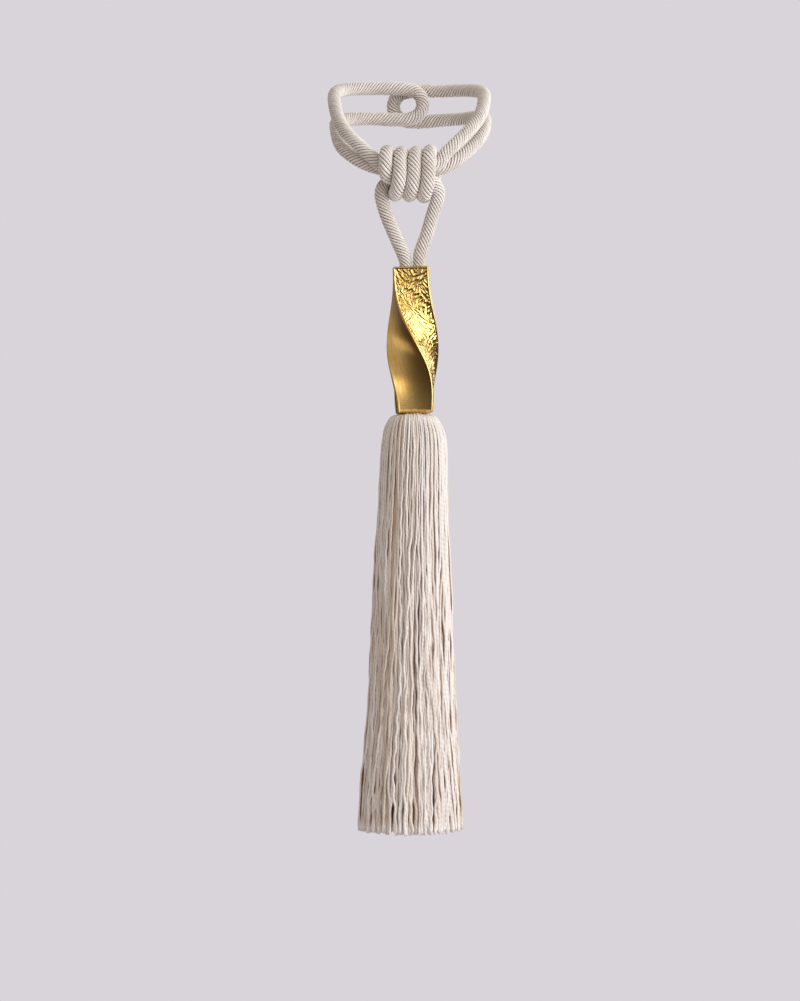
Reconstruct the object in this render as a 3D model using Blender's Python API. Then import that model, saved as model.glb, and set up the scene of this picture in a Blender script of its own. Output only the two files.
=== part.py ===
"""Curtain tieback tassel: a doubled twisted cord with a wound knot, a twisted gold head
and a long skirt of yarns.

Metres, +Z up, front towards -Y. The origin is the wall hook's place, in the middle of the eye
that the two end loops of the tieback make behind the curtain. Sizes and routes are written in
millimetres from the middle of the wound knot and are moved to the origin as they are built.

Pieces, one object each:
    tieback_rope   doubled cord through the knot, with a loop to the left and one to the right
    tassel_rope    cord from the head up, four times round the knot, and down to the head
    tassel_head    square bar, twisted a little over a quarter turn, with a socket and a recess
    tassel_skirt   yarns on one fluted root
"""

import math
import random

import bmesh
import bpy
import numpy as np
from mathutils import Matrix, Vector

MM = 0.001
HOOK = np.array((0.0, 73.2, 52.0))      # the hook's place, from the knot's middle

# ---- cord
CORD = 7.8                  # diameter over the strands
STRANDS = 3
GROOVE = 0.74               # radius in a groove, as a share of the crown's
LEAD = 25.0                 # length of one full turn of the strands
STEP_TURN = 36.0            # turn between two sections, degrees
GAP = 0.3                   # left between pieces that touch
CORE = 3.65                 # offset of each of the four cords inside the knot
CORE_LEAN = -0.05           # slope of those four, down to the right
CORE_SQUEEZE = 0.105        # the wraps press them thinner by this share
ENTRY_PINCH = 0.11          # and the head's mouth pinches its two legs by this one

# ---- knot
WRAPS = 4
PITCH = 8.4                 # from wrap to wrap
WRAP_MIDDLE = 0.6           # X of the middle of the four wraps
WRAP_UP = 12.2              # from the middle up to a wrap's centre line
WRAP_DOWN = (10.6, 12.3)    # and down to it, at the left end and at the right one
WRAP_DEEP = 12.8            # half depth of a wrap's centre line
WRAP_SQUARE = 2.6           # 2 is round, more is squarer
SLANT = 0.1                 # the bottoms lean this much back towards the right

# ---- head
HEAD_TOP = -54.2
HEAD_LONG = 84.4
HEAD_SIDE = 20.9            # across the faces, above
HEAD_BULGE = (2.6, 0.72, 0.22)  # how much wider, where down the head, and over what share of it
HEAD_TAPER = 0.9            # and how much narrower at the foot
HEAD_CHAMFER = 0.8
HEAD_TWIST = (90.0, 0.98)   # degrees, and the share of the head they take
HEAD_OVER = 3.0             # further degrees, most of them near the foot
HEAD_LEVELS = 20
HEAD_LEAN = 1.4             # degrees, foot towards +X
HEAD_X = 2.3                # middle of the head
LEG_X = (-1.6, 5.7)         # where the two legs enter
SOCKET_DEEP = 9.5
RECESS_DEEP = 8.0
NECK = 7.2                  # radius of the skirt's neck in the recess

# ---- skirt
SKIRT_FOOT = -380.0
ROOT_FOOT = -156.5
FLUTES = 52
YARN_RINGS = (              # share of the skirt's radius, yarns in the ring
    (1.00, 52),
    (0.80, 40),
    (0.58, 26),
    (0.33, 12),
)
YARN_FILL = 0.70            # a yarn's width as a share of its room in the ring
YARN_UNEVEN = 1.6           # the cut ends differ by this much
SKIRT_SHAPE = (             # level, half width, middle's X
    (-139.2, 9.6, 2.6),
    (-139.6, 12.5, 2.7),
    (-142.0, 15.0, 2.9),
    (-147.5, 17.8, 3.2),
    (-156.5, 19.4, 3.3),
    (-166.5, 20.0, 3.1),
    (-190.0, 20.6, 2.7),
    (-220.0, 21.9, 2.2),
    (-252.0, 22.9, 2.2),
    (-303.0, 25.1, 1.8),
    (-343.0, 28.0, 1.1),
    (-362.0, 29.2, 0.9),
    (-380.0, 30.0, 0.8),
)
SKIRT_DEEP = (1.0, 0.86)    # depth as a share of width, at the root and at the foot

# ---- routes, a row for each point that the cord passes: right, back, up
# The tieback's four runs, each from the knot out to the hook.
RIGHT_FRONT = (
    (12.0, -CORE, 4.2), (17.1, -3.8, 7.6), (21.1, -3.0, 11.4), (27.5, 0.0, 18.0),
    (34.1, 6.0, 25.2), (39.8, 13.0, 32.7), (43.4, 22.0, 40.5), (45.0, 32.0, 48.2),
    (45.0, 42.0, 53.8), (41.0, 54.0, 57.6), (32.0, 65.0, 59.8), (20.0, 72.6, 60.8),
)
RIGHT_BACK = (
    (8.0, CORE, CORE), (15.4, CORE, 3.8), (20.7, 4.5, 4.9), (27.7, 6.0, 8.9),
    (34.8, 11.0, 15.4), (40.9, 18.0, 22.4), (44.8, 27.0, 31.3), (45.4, 36.0, 37.9),
    (44.6, 45.0, 40.6), (40.4, 55.0, 41.8), (32.0, 65.0, 42.4), (20.0, 72.6, 42.8),
)
LEFT_BACK = (
    (-8.0, CORE, CORE), (-15.2, CORE, 3.9), (-21.2, 4.5, 5.5), (-27.6, 6.0, 8.3),
    (-34.1, 10.0, 12.9), (-38.7, 16.0, 17.8), (-41.6, 25.0, 25.0), (-42.8, 34.0, 31.9),
    (-42.8, 44.0, 36.8), (-39.4, 53.0, 40.0), (-31.5, 61.5, 42.0), (-20.0, 66.4, 42.8),
)
LEFT_FRONT = (
    (-12.0, -CORE, 4.2), (-18.8, -4.0, 7.6), (-25.8, -2.0, 14.0), (-32.2, 3.0, 20.5),
    (-37.4, 10.0, 27.5), (-41.3, 19.0, 35.7), (-43.4, 30.0, 44.4), (-44.0, 42.0, 53.1),
    (-40.8, 52.0, 57.4), (-32.5, 60.5, 60.0), (-20.0, 66.4, 61.2),
)
# The tassel's cord: the left leg upwards and the right leg downwards.
LEFT_LEG = (
    (-1.6, 0.0, -54.0), (-2.3, 0.1, -48.2), (-4.1, 0.3, -43.8), (-7.3, 0.5, -36.6),
    (-13.0, 1.0, -22.9), (-15.2, 1.6, -15.0), (-15.4, 2.6, -9.0), (-13.2, 3.5, -4.8),
    (-8.0, CORE, -CORE),
)
RIGHT_LEG = (
    (8.0, -CORE, -CORE), (13.4, -3.7, -4.4), (16.6, -3.0, -9.3), (16.1, -1.8, -17.1),
    (14.1, -1.0, -22.9), (10.1, -0.4, -36.6), (7.3, -0.1, -43.8), (6.3, 0.0, -48.2),
    (5.7, 0.0, -54.0),
)
# From inside the knot round to the back of the last wrap, and the first wrap's tucked tail.
TURN_UP = ((0.0, CORE, -CORE), (8.0, CORE, -CORE), (13.4, 6.6, -3.4), (15.0, 11.2, 1.4))
TUCKED = (
    (-11.9, -12.4, 2.0), (-10.6, -10.4, -2.6), (-8.4, -6.2, -4.4), (-4.0, -CORE, -CORE),
    (2.0, -CORE, -CORE),
)


def smooth_line(points, fine=16):
    """A natural cubic through the points: bending is even and no joint shows."""
    p = np.asarray(points, float)
    t = np.concatenate([[0.0], np.cumsum(np.linalg.norm(np.diff(p, axis=0), axis=1) ** 0.75)])
    h = np.diff(t)
    n = len(p)
    left, right = np.eye(n), np.zeros((n, 3))
    for i in range(1, n - 1):
        left[i, i - 1:i + 2] = h[i - 1], 2.0 * (h[i - 1] + h[i]), h[i]
        right[i] = 6.0 * ((p[i + 1] - p[i]) / h[i] - (p[i] - p[i - 1]) / h[i - 1])
    m = np.linalg.solve(left, right)
    runs = []
    for i in range(n - 1):
        u = np.linspace(t[i], t[i + 1], fine, endpoint=False)[:, None]
        a, b = (t[i + 1] - u) / h[i], (u - t[i]) / h[i]
        bend = ((a ** 3 - a) * m[i] + (b ** 3 - b) * m[i + 1]) * h[i] ** 2 / 6.0
        runs.append(a * p[i] + b * p[i + 1] + bend)
    return np.concatenate(runs + [p[-1:]])


def evenly(line, step=None, count=None):
    """The same line with its points an equal distance apart."""
    s = np.concatenate([[0.0], np.cumsum(np.linalg.norm(np.diff(line, axis=0), axis=1))])
    count = count or int(round(s[-1] / step)) + 1
    at = np.linspace(0.0, s[-1], count)
    return np.stack([np.interp(at, s, line[:, k]) for k in range(3)], axis=1)


def wrap_point(turn):
    """A point of the winding: turn 0 is the top of the left wrap, and turns count over the back."""
    a = 2.0 * math.pi * turn
    s, c = math.sin(a), math.cos(a)
    flat = 2.0 / WRAP_SQUARE
    down = WRAP_DOWN[0] + (WRAP_DOWN[1] - WRAP_DOWN[0]) * turn / (WRAPS - 1)
    return (
        WRAP_MIDDLE + PITCH * (turn - 0.5 * (WRAPS - 1)) + SLANT * (1.0 - c),
        WRAP_DEEP * math.copysign(abs(s) ** flat, s),
        (WRAP_UP if c > 0.0 else down) * math.copysign(abs(c) ** flat, c),
    )


def end_loop(tip, y, upper, lower):
    """Half a circle round the hook, from the upper run to the lower one."""
    r, z = 0.5 * (upper - lower), 0.5 * (upper + lower)
    turns = [math.radians(a) for a in (90, 45, 0, -45, -90)]
    return [(tip * r * math.cos(a), y, z + r * math.sin(a)) for a in turns]


def tassel_route():
    floor = HEAD_TOP - SOCKET_DEEP + GAP
    entry = (floor, 0.5 * (floor + HEAD_TOP))
    winding = [wrap_point(t) for t in np.arange(WRAPS - 0.9, -0.20, -0.08)]
    return smooth_line(
        [(LEG_X[0], 0.0, z) for z in entry] + list(LEFT_LEG) + list(TURN_UP)
        + winding + list(TUCKED) + list(RIGHT_LEG)
        + [(LEG_X[1], 0.0, z) for z in reversed(entry)]
    )


def tieback_route():
    near, far = HOOK[1] - 4.4, HOOK[1] + 4.4
    z = HOOK[2]
    return smooth_line(
        [(0.2, -CORE, CORE), (6.0, -CORE, CORE)] + list(RIGHT_FRONT)
        + end_loop(-1.0, far, z + 9.0, z - 9.0)
        + list(reversed(RIGHT_BACK)) + [(0.0, CORE, CORE)] + list(LEFT_BACK)
        + list(reversed(end_loop(1.0, near, z + 9.0, z - 9.0)))
        + list(reversed(LEFT_FRONT)) + [(-6.0, -CORE, CORE), (-0.2, -CORE, CORE)]
    )


def thickness(points):
    """The cord's thickness as a share of its own: less where something squeezes it."""
    x, y, z = np.asarray(points).T
    inside = np.clip((13.5 - np.abs(x)) / 4.0, 0.0, 1.0)
    inside = inside * np.clip((9.0 - np.hypot(y, z)) / 2.0, 0.0, 1.0)
    entry = np.clip((HEAD_TOP + 8.0 - z) / 6.0, 0.0, 1.0)
    return 1.0 - CORE_SQUEEZE * inside - ENTRY_PINCH * entry


def lean(line):
    """The route with the bundle inside the knot sloped a little."""
    x, y, z = line.T
    inside = np.clip((15.0 - np.abs(x)) / 5.0, 0.0, 1.0)
    inside = inside * np.clip((9.0 - np.hypot(y, z)) / 2.0, 0.0, 1.0)
    return np.stack([x, y, z + CORE_LEAN * x * inside], axis=1)


def press_apart(routes, rounds=200, step=1.5, hold=0.02):
    """The cords as they bear on each other: no two runs nearer than a diameter and the gap.

    Each round moves near points apart, draws them back towards their route a little, and
    irons out sharp bends.
    """
    lines = [evenly(r, step) for r in routes]
    cuts = np.cumsum([0] + [len(q) for q in lines])
    x = np.concatenate(lines)
    goal = x.copy()
    which = np.concatenate([np.full(len(q), i) for i, q in enumerate(lines)])
    place = np.concatenate([np.arange(len(q)) for q in lines])
    window = math.ceil(1.4 * CORD / step)
    half = 0.5 * CORD * thickness(x)
    i_all, j_all = np.triu_indices(len(x), 1)
    free = (which[i_all] != which[j_all]) | (np.abs(place[i_all] - place[j_all]) >= window)
    i_all, j_all = i_all[free], j_all[free]
    for turn in range(rounds):
        if turn % 20 == 0:
            near = np.linalg.norm(x[i_all] - x[j_all], axis=1) < CORD + 4.0
            i, j = i_all[near], j_all[near]
            far = half[i] + half[j] + GAP + 0.15
        apart = x[i] - x[j]
        long = np.linalg.norm(apart, axis=1)
        tight = long < far
        a, b = i[tight], j[tight]
        push = apart[tight] * (0.5 * (far[tight] - long[tight]) / long[tight])[:, None]
        total, count = np.zeros_like(x), np.zeros(len(x))
        np.add.at(total, a, push)
        np.add.at(total, b, -push)
        np.add.at(count, a, 1)
        np.add.at(count, b, 1)
        x = x + 0.9 * total / np.sqrt(np.maximum(count, 1))[:, None]
        if turn < rounds - 12:
            x = x + hold * (goal - x)
        stiff = 0.20 if turn < rounds - 30 else 0.06
        for start, stop in zip(cuts[:-1], cuts[1:]):
            q = x[start:stop]
            bend, iron = np.zeros_like(q), np.zeros_like(q)
            bend[1:-1] = 0.5 * (q[:-2] + q[2:]) - q[1:-1]
            iron[1:-1] = 0.5 * (bend[:-2] + bend[2:]) - bend[1:-1]
            q = q - stiff * iron
            q[0], q[-1] = goal[start], goal[stop - 1]
            x[start:stop] = evenly(q, count=len(q)) if turn % 5 == 4 else q
    return [x[start:stop] for start, stop in zip(cuts[:-1], cuts[1:])]


def material(name, colour, roughness, metallic=0.0):
    mat = bpy.data.materials.new(name)
    mat.use_nodes = True
    mat.diffuse_color = (*colour, 1.0)
    shader = mat.node_tree.nodes["Principled BSDF"]
    shader.inputs["Base Color"].default_value = (*colour, 1.0)
    shader.inputs["Roughness"].default_value = roughness
    shader.inputs["Metallic"].default_value = metallic
    return mat


def new_object(name, data, group, mat=None):
    obj = bpy.data.objects.new(name, data)
    group.objects.link(obj)
    if mat:
        data.materials.append(mat)
    return obj


def hide_cutter(obj):
    obj.hide_render = True
    obj.display_type = "WIRE"
    return obj


def cord(name, line, group, section, mat):
    """A cord: the strands' section along the line, turned by the lay as it goes."""
    points = evenly(line, LEAD * STEP_TURN / 360.0)
    curve = bpy.data.curves.new(name, "CURVE")
    curve.dimensions = "3D"
    curve.twist_mode = "MINIMUM"
    curve.bevel_mode = "OBJECT"
    curve.bevel_object = section
    curve.use_fill_caps = True
    spline = curve.splines.new("POLY")
    spline.points.add(len(points) - 1)
    thick = thickness(points)
    for k, (point, at) in enumerate(zip(spline.points, (points - HOOK) * MM)):
        point.co = (*at, 1.0)
        point.tilt = -math.radians(STEP_TURN * k)
        point.radius = thick[k]
    obj = new_object(name, curve, group, mat)
    split = obj.modifiers.new("short diagonals", "TRIANGULATE")
    split.quad_method = "SHORTEST_DIAGONAL"
    return obj


def cord_section(group):
    """Broad strand crowns with a narrow groove between two of them."""
    curve = bpy.data.curves.new("cord_section", "CURVE")
    curve.dimensions = "2D"
    spline = curve.splines.new("POLY")
    spline.use_cyclic_u = True
    spline.points.add(3 * STRANDS - 1)
    lobe = 2.0 * math.pi / STRANDS
    marks = ((-0.29, 1.0), (0.29, 1.0), (0.5, GROOVE))
    for k, point in enumerate(spline.points):
        share, reach = marks[k % 3]
        a, r = -lobe * (k // 3 + share), 0.5 * CORD * reach * MM
        point.co = (r * math.cos(a), r * math.sin(a), 0.0, 1.0)
    return hide_cutter(new_object("cord_section", curve, group))


def loft(bm, rings):
    """Rings of equal count, joined in turn and closed at both ends."""
    rows = [[bm.verts.new(p) for p in ring] for ring in rings]
    for low, high in zip(rows, rows[1:]):
        for k in range(len(low)):
            n = (k + 1) % len(low)
            bm.faces.new((low[k], low[n], high[n], high[k]))
    bm.faces.new(list(reversed(rows[0])))
    bm.faces.new(rows[-1])


def bm_object(name, bm, group, mat=None):
    bmesh.ops.recalc_face_normals(bm, faces=bm.faces)
    mesh = bpy.data.meshes.new(name)
    bm.to_mesh(mesh)
    bm.free()
    return new_object(name, mesh, group, mat)


def head_turn(down):
    """The bar's twist, in radians, at a share of the way down: slow, fast and slow again."""
    t = min(down / HEAD_TWIST[1], 1.0)
    return math.radians(HEAD_TWIST[0] * t ** 3 * (10.0 - 15.0 * t + 6.0 * t * t)
                        + HEAD_OVER * down ** 3)


def head_side(down):
    """The bar's width across its faces: fullest at three quarters and drawn in at the foot."""
    more, middle, share = HEAD_BULGE
    return (HEAD_SIDE + more * math.exp(-((down - middle) / share) ** 2)
            - HEAD_TAPER * down ** 8)


def head(group, cutters, mat):
    """The square bar: chamfered and turned a little over a quarter.

    A socket above takes the two legs, and a recess below the skirt's neck.
    """
    bm = bmesh.new()
    rings = []
    for k in range(HEAD_LEVELS + 1):
        down = k / HEAD_LEVELS
        turn, side = head_turn(down), head_side(down)
        z = HEAD_LONG * (0.5 - down)
        shapes = [(side, z)]
        if k == 0:
            shapes = [(side - 2.0 * HEAD_CHAMFER, z), (side, z - HEAD_CHAMFER)]
        elif k == HEAD_LEVELS:
            shapes = [(side, z + HEAD_CHAMFER), (side - 2.0 * HEAD_CHAMFER, z)]
        for wide, level in shapes:
            half, flat = 0.5 * wide, 0.5 * wide - HEAD_CHAMFER
            corner = [(half, -flat), (half, flat), (flat, half), (-flat, half),
                      (-half, flat), (-half, -flat), (-flat, -half), (flat, -half)]
            rings.append([Matrix.Rotation(turn, 3, "Z") @ Vector((x, y, level)) * MM
                          for x, y in corner])
    loft(bm, rings)
    obj = bm_object("tassel_head", bm, group, mat)
    middle = np.array((HEAD_X, 0.0, HEAD_TOP - 0.5 * HEAD_LONG)) - HOOK
    obj.location = Vector(middle * MM)
    obj.rotation_euler = (0.0, -math.radians(HEAD_LEAN), 0.0)

    deep = 0.5 * CORD * (1.0 - ENTRY_PINCH) + GAP
    wide = 0.5 * (LEG_X[1] - LEG_X[0]) + deep
    bm = bmesh.new()
    outline = []
    for side, start in ((1.0, -90), (-1.0, 90)):
        for k in range(9):
            a = math.radians(start + 22.5 * k)
            outline.append((side * (wide - deep) + deep * math.cos(a), deep * math.sin(a)))
    middle_x = 0.5 * (LEG_X[0] + LEG_X[1])
    levels = (HEAD_TOP - SOCKET_DEEP, HEAD_TOP + 6.0)
    loft(bm, [[Vector((np.array((middle_x + x, y, z)) - HOOK) * MM) for x, y in outline]
              for z in levels])
    socket = hide_cutter(bm_object("socket_cutter", bm, cutters))

    bm = bmesh.new()
    foot = HEAD_TOP - HEAD_LONG
    place = Matrix.Translation(Vector((np.array((skirt_x(foot), 0.0, foot - 6.0)) - HOOK) * MM))
    tall = (RECESS_DEEP + 6.0) * MM
    bmesh.ops.create_cone(
        bm, cap_ends=True, segments=24, radius1=(NECK + GAP) * MM, radius2=(NECK + GAP) * MM,
        depth=tall, matrix=place @ Matrix.Translation((0.0, 0.0, 0.5 * tall)))
    recess = hide_cutter(bm_object("recess_cutter", bm, cutters))

    for cutter in (socket, recess):
        cut = obj.modifiers.new(cutter.name, "BOOLEAN")
        cut.operation = "DIFFERENCE"
        cut.solver = "EXACT"
        cut.object = cutter
    return obj


SKIRT_TABLE = np.array(SKIRT_SHAPE)[::-1]


def skirt_wide(z):
    return float(np.interp(z, SKIRT_TABLE[:, 0], SKIRT_TABLE[:, 1]))


def skirt_x(z):
    return float(np.interp(z, SKIRT_TABLE[:, 0], SKIRT_TABLE[:, 2]))


def skirt_deep(z):
    share = np.clip((ROOT_FOOT - z) / (ROOT_FOOT - SKIRT_FOOT), 0.0, 1.0)
    return skirt_wide(z) * (SKIRT_DEEP[0] + (SKIRT_DEEP[1] - SKIRT_DEEP[0]) * float(share))


def skirt(group, cutters, mat):
    """The root, a fluted dome with its neck, and the yarns that hang from its underside."""
    dice = random.Random(7)

    def ring(z, half, flute, x):
        points = []
        for k in range(2 * FLUTES):
            a = math.pi * k / FLUTES
            r = half * (1.0 - flute * (k % 2))
            points.append(Vector((np.array((x + r * math.cos(a), r * math.sin(a), z)) - HOOK) * MM))
        return points

    foot = HEAD_TOP - HEAD_LONG
    neck_x = skirt_x(foot)
    bm = bmesh.new()
    rings = [ring(foot + RECESS_DEEP - GAP, NECK, 0.0, neck_x),
             ring(SKIRT_SHAPE[0][0], NECK, 0.0, neck_x)]
    for z, half, x in SKIRT_SHAPE:
        if z >= ROOT_FOOT:
            rings.append(ring(z, half, 0.045, x))
    loft(bm, rings)
    root = bm_object("tassel_skirt", bm, group, mat)

    bm = bmesh.new()
    for share, count in YARN_RINGS:
        levels = (-155.0, -200.0, -255.0, -318.0, SKIRT_FOOT) if share == 1.0 else (
            -155.0, -255.0, SKIRT_FOOT)
        for k in range(count):
            a = 2.0 * math.pi * (k + (0.0 if share == 1.0 else 0.5)) / count
            cut, sway, lag = dice.uniform(0.0, YARN_UNEVEN), dice.uniform(-0.3, 0.3), 3.0 * a
            yarn = []
            for z in levels:
                wide, deep = skirt_wide(z), skirt_deep(z)
                room = 2.0 * math.pi * share * math.hypot(wide, deep) / math.sqrt(2.0) / count
                half = 0.5 * YARN_FILL * min(room, 3.0)
                loose = min(1.0, (ROOT_FOOT + 2.0 - z) / 120.0)
                turn = a + loose * (0.020 * math.sin(z / 31.0 + lag) + 0.012 * math.sin(z / 17.0))
                r = share * (1.0 - (half + 0.1 + (0.5 + sway) * loose) / wide)
                middle = np.array((skirt_x(z) + wide * r * math.cos(turn),
                                   deep * r * math.sin(turn), z + (cut if z == SKIRT_FOOT else 0.0)))
                out = np.array((math.cos(turn), math.sin(turn), 0.0))
                side = np.array((-math.sin(turn), math.cos(turn), 0.0))
                yarn.append([Vector((middle - HOOK + half * d) * MM)
                             for d in (out - side, out + side, side - out, -side - out)])
            loft(bm, yarn)
    yarns = hide_cutter(bm_object("skirt_yarns", bm, cutters))

    join = root.modifiers.new("yarns", "BOOLEAN")
    join.operation = "UNION"
    join.solver = "EXACT"
    join.object = yarns
    return root


def main():
    for obj in list(bpy.data.objects):
        bpy.data.objects.remove(obj, do_unlink=True)
    part = bpy.data.collections.new("curtain_tieback_tassel")
    cutters = bpy.data.collections.new("cutters")
    for group in (part, cutters):
        bpy.context.scene.collection.children.link(group)

    ivory_cord = material("ivory twisted cord", (0.78, 0.73, 0.66), 0.72)
    ivory_yarn = material("ivory tassel yarn", (0.80, 0.75, 0.68), 0.78)
    gold = material("polished gold metal", (0.80, 0.52, 0.16), 0.24, 1.0)

    section = cord_section(cutters)
    tassel_line, tieback_line = press_apart([lean(tassel_route()), lean(tieback_route())])
    cord("tassel_rope", tassel_line, part, section, ivory_cord)
    cord("tieback_rope", tieback_line, part, section, ivory_cord)
    head(part, cutters, gold)
    skirt(part, cutters, ivory_yarn)


main()
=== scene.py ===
"""Dressed model of a curtain tieback: ivory twisted cord, gold head and long yarn tassel.

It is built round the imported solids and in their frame: metres, +Z up, front towards -Y, and the
origin at the wall hook. Sizes and routes are written in millimetres from the middle of the
wound knot.
"""

import logging
import math
from dataclasses import dataclass, field
from enum import Enum

import bpy
import numpy as np
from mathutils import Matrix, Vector


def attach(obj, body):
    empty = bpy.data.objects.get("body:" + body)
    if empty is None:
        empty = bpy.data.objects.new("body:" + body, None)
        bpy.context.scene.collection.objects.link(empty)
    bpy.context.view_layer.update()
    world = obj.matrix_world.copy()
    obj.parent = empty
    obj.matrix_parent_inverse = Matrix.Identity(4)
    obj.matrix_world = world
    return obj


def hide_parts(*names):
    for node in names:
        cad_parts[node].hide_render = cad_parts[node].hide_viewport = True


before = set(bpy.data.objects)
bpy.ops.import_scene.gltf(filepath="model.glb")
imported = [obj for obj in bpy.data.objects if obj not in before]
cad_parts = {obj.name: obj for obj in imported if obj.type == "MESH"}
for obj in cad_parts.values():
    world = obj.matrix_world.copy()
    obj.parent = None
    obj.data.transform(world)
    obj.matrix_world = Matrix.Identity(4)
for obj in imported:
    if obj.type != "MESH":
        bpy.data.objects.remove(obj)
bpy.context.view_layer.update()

LOG = logging.getLogger("curtain_tieback_tassel")
Array = np.ndarray
Point = tuple[float, float, float]
Pair = tuple[float, float]

MM = 0.001
TURN = 2.0 * math.pi
BODY = "root"
HOOK = np.array((0.0, 73.2, 52.0))      # the hook's place, from the knot's middle
HEAD_TOP = -54.2
SOCKET_DEEP = 9.5                       # the hole in the head's top, for both legs
LEG_X = (-1.6, 5.7)                     # where the left leg and the right leg go in

# a Mix node's sockets when it mixes colours; their names repeat, so they go by number
SHARE, FIRST, SECOND, MIXED = 0, 6, 7, 2


class Slot(Enum):
    """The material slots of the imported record."""

    CORD = "cord"
    GOLD = "gold"
    YARN = "yarn"


# ---------------------------------------------------------------- nodes and finishing a piece


def to_linear(colour: str) -> tuple[float, float, float, float]:
    """Turns an sRGB hex colour to linear red, green, blue and alpha.

    Args:
        colour: six hex digits after a hash sign.

    Returns:
        The four linear values.
    """
    parts = [int(colour[k:k + 2], 16) / 255.0 for k in (1, 3, 5)]
    return (*[c / 12.92 if c <= 0.04045 else ((c + 0.055) / 1.055) ** 2.4 for c in parts], 1.0)


def feed(node: bpy.types.Node, inputs: dict | tuple) -> None:
    """Sets or links a node's inputs.

    Args:
        node: the node that takes them.
        inputs: by an input's name or number, or else in their order, a plain value, an output,
            or a node whose first output is meant.
    """
    for key, value in inputs.items() if isinstance(inputs, dict) else enumerate(inputs):
        if isinstance(value, bpy.types.Node):
            value = value.outputs[0]
        if isinstance(value, bpy.types.NodeSocket):
            node.id_data.links.new(value, node.inputs[key])
        else:
            node.inputs[key].default_value = value


def add_node(tree: bpy.types.NodeTree, kind: str, inputs: dict | tuple = (),
             **settings: object) -> bpy.types.Node:
    """Adds a node with its settings and links.

    Args:
        tree: the material's or world's node tree.
        kind: the node's type name.
        inputs: what feeds it, as in feed.
        **settings: the node's own properties.

    Returns:
        The node.
    """
    node = tree.nodes.new(kind)
    for name, value in settings.items():
        setattr(node, name, value)
    feed(node, inputs)
    return node


def from_middle(tree: bpy.types.NodeTree, value: bpy.types.NodeSocket) -> bpy.types.Node:
    """How far a value is from the middle of its whole step: |fraction - 0.5|.

    Args:
        tree: the material's node tree.
        value: it counts yarns or plies.

    Returns:
        The last node, which gives 0 in the middle of a step and 0.5 where two of them meet.
    """
    part = add_node(tree, "ShaderNodeMath", (value,), operation="FRACT")
    part = add_node(tree, "ShaderNodeMath", (part, 0.5), operation="SUBTRACT")
    return add_node(tree, "ShaderNodeMath", (part,), operation="ABSOLUTE")


def new_material(name: str) -> tuple[bpy.types.Material, bpy.types.NodeTree, bpy.types.Node]:
    """An empty material with its Principled shader.

    Args:
        name: the finish's plain name.

    Returns:
        The material, its node tree and the shader node.
    """
    made = bpy.data.materials.new(name)
    made.use_nodes = True
    return made, made.node_tree, made.node_tree.nodes["Principled BSDF"]


def dress(obj: bpy.types.Object, node: str, slot: Slot, *finishes: bpy.types.Material) -> None:
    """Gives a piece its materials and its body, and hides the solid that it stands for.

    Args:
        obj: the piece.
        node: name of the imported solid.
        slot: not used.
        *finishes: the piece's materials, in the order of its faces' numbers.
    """
    for finish in finishes:
        obj.data.materials.append(finish)
    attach(obj, BODY)
    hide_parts(node)


# ---------------------------------------------------------------- lines and surfaces


def smooth_step(value: Array) -> Array:
    """0 below 0, 1 above 1 and 3v^2 - 2v^3 between."""
    v = np.clip(value, 0.0, 1.0)
    return v * v * (3.0 - 2.0 * v)


def above(value: Array, level: float, over: float) -> Array:
    """0 below a level, growing smoothly to 1 over that much above it."""
    return smooth_step((value - level) / over)


def below(value: Array, level: float | Array, over: float | Array) -> Array:
    """0 above a level, growing smoothly to 1 over that much below it."""
    return smooth_step((level - value) / over)


def unit(vectors: Array) -> Array:
    """The vectors at length one."""
    return vectors / np.linalg.norm(vectors, axis=-1, keepdims=True)


def line_length(line: Array) -> float:
    """The line's length."""
    return float(np.linalg.norm(np.diff(line, axis=0), axis=1).sum())


def waves(dice: np.random.Generator, parts: tuple[Pair, ...], around: Array,
          along: Array) -> Array:
    """A smooth uneven field: the sum of sin(cycles x angle + turn x level / length + phase).

    Args:
        dice: gives each wave its phase.
        parts: for each wave, whole cycles round and length in millimetres.
        around: angles.
        along: levels in millimetres.

    Returns:
        The sum over the square root of the number of waves, about -1 to 1.
    """
    total = 0.0
    for cycles, length in parts:
        total = total + np.sin(cycles * around + TURN * along / length + dice.uniform(0, TURN))
    return total / math.sqrt(len(parts))


def smooth_line(points: list[Point], fine: int = 16, power: float = 0.75) -> Array:
    """A natural cubic through the points: bending is even and no joint shows.

    Args:
        points: what the line passes, in order.
        fine: steps between two of them.
        power: the cubic's own measure grows by each stretch's length to this power, which keeps
            it from swinging wide where a long stretch follows a short one.

    Returns:
        The line's points.
    """
    p = np.asarray(points, float)
    t = np.concatenate([[0.0], np.cumsum(np.linalg.norm(np.diff(p, axis=0), axis=1) ** power)])
    h = np.diff(t)
    n = len(p)
    left, right = np.eye(n), np.zeros((n, p.shape[1]))
    for i in range(1, n - 1):
        left[i, i - 1:i + 2] = h[i - 1], 2.0 * (h[i - 1] + h[i]), h[i]
        right[i] = 6.0 * ((p[i + 1] - p[i]) / h[i] - (p[i] - p[i - 1]) / h[i - 1])
    m = np.linalg.solve(left, right)
    runs = []
    for i in range(n - 1):
        u = np.linspace(t[i], t[i + 1], fine, endpoint=False)[:, None]
        a, b = (t[i + 1] - u) / h[i], (u - t[i]) / h[i]
        bend = ((a ** 3 - a) * m[i] + (b ** 3 - b) * m[i + 1]) * h[i] ** 2 / 6.0
        runs.append(a * p[i] + b * p[i + 1] + bend)
    return np.concatenate(runs + [p[-1:]])


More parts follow.
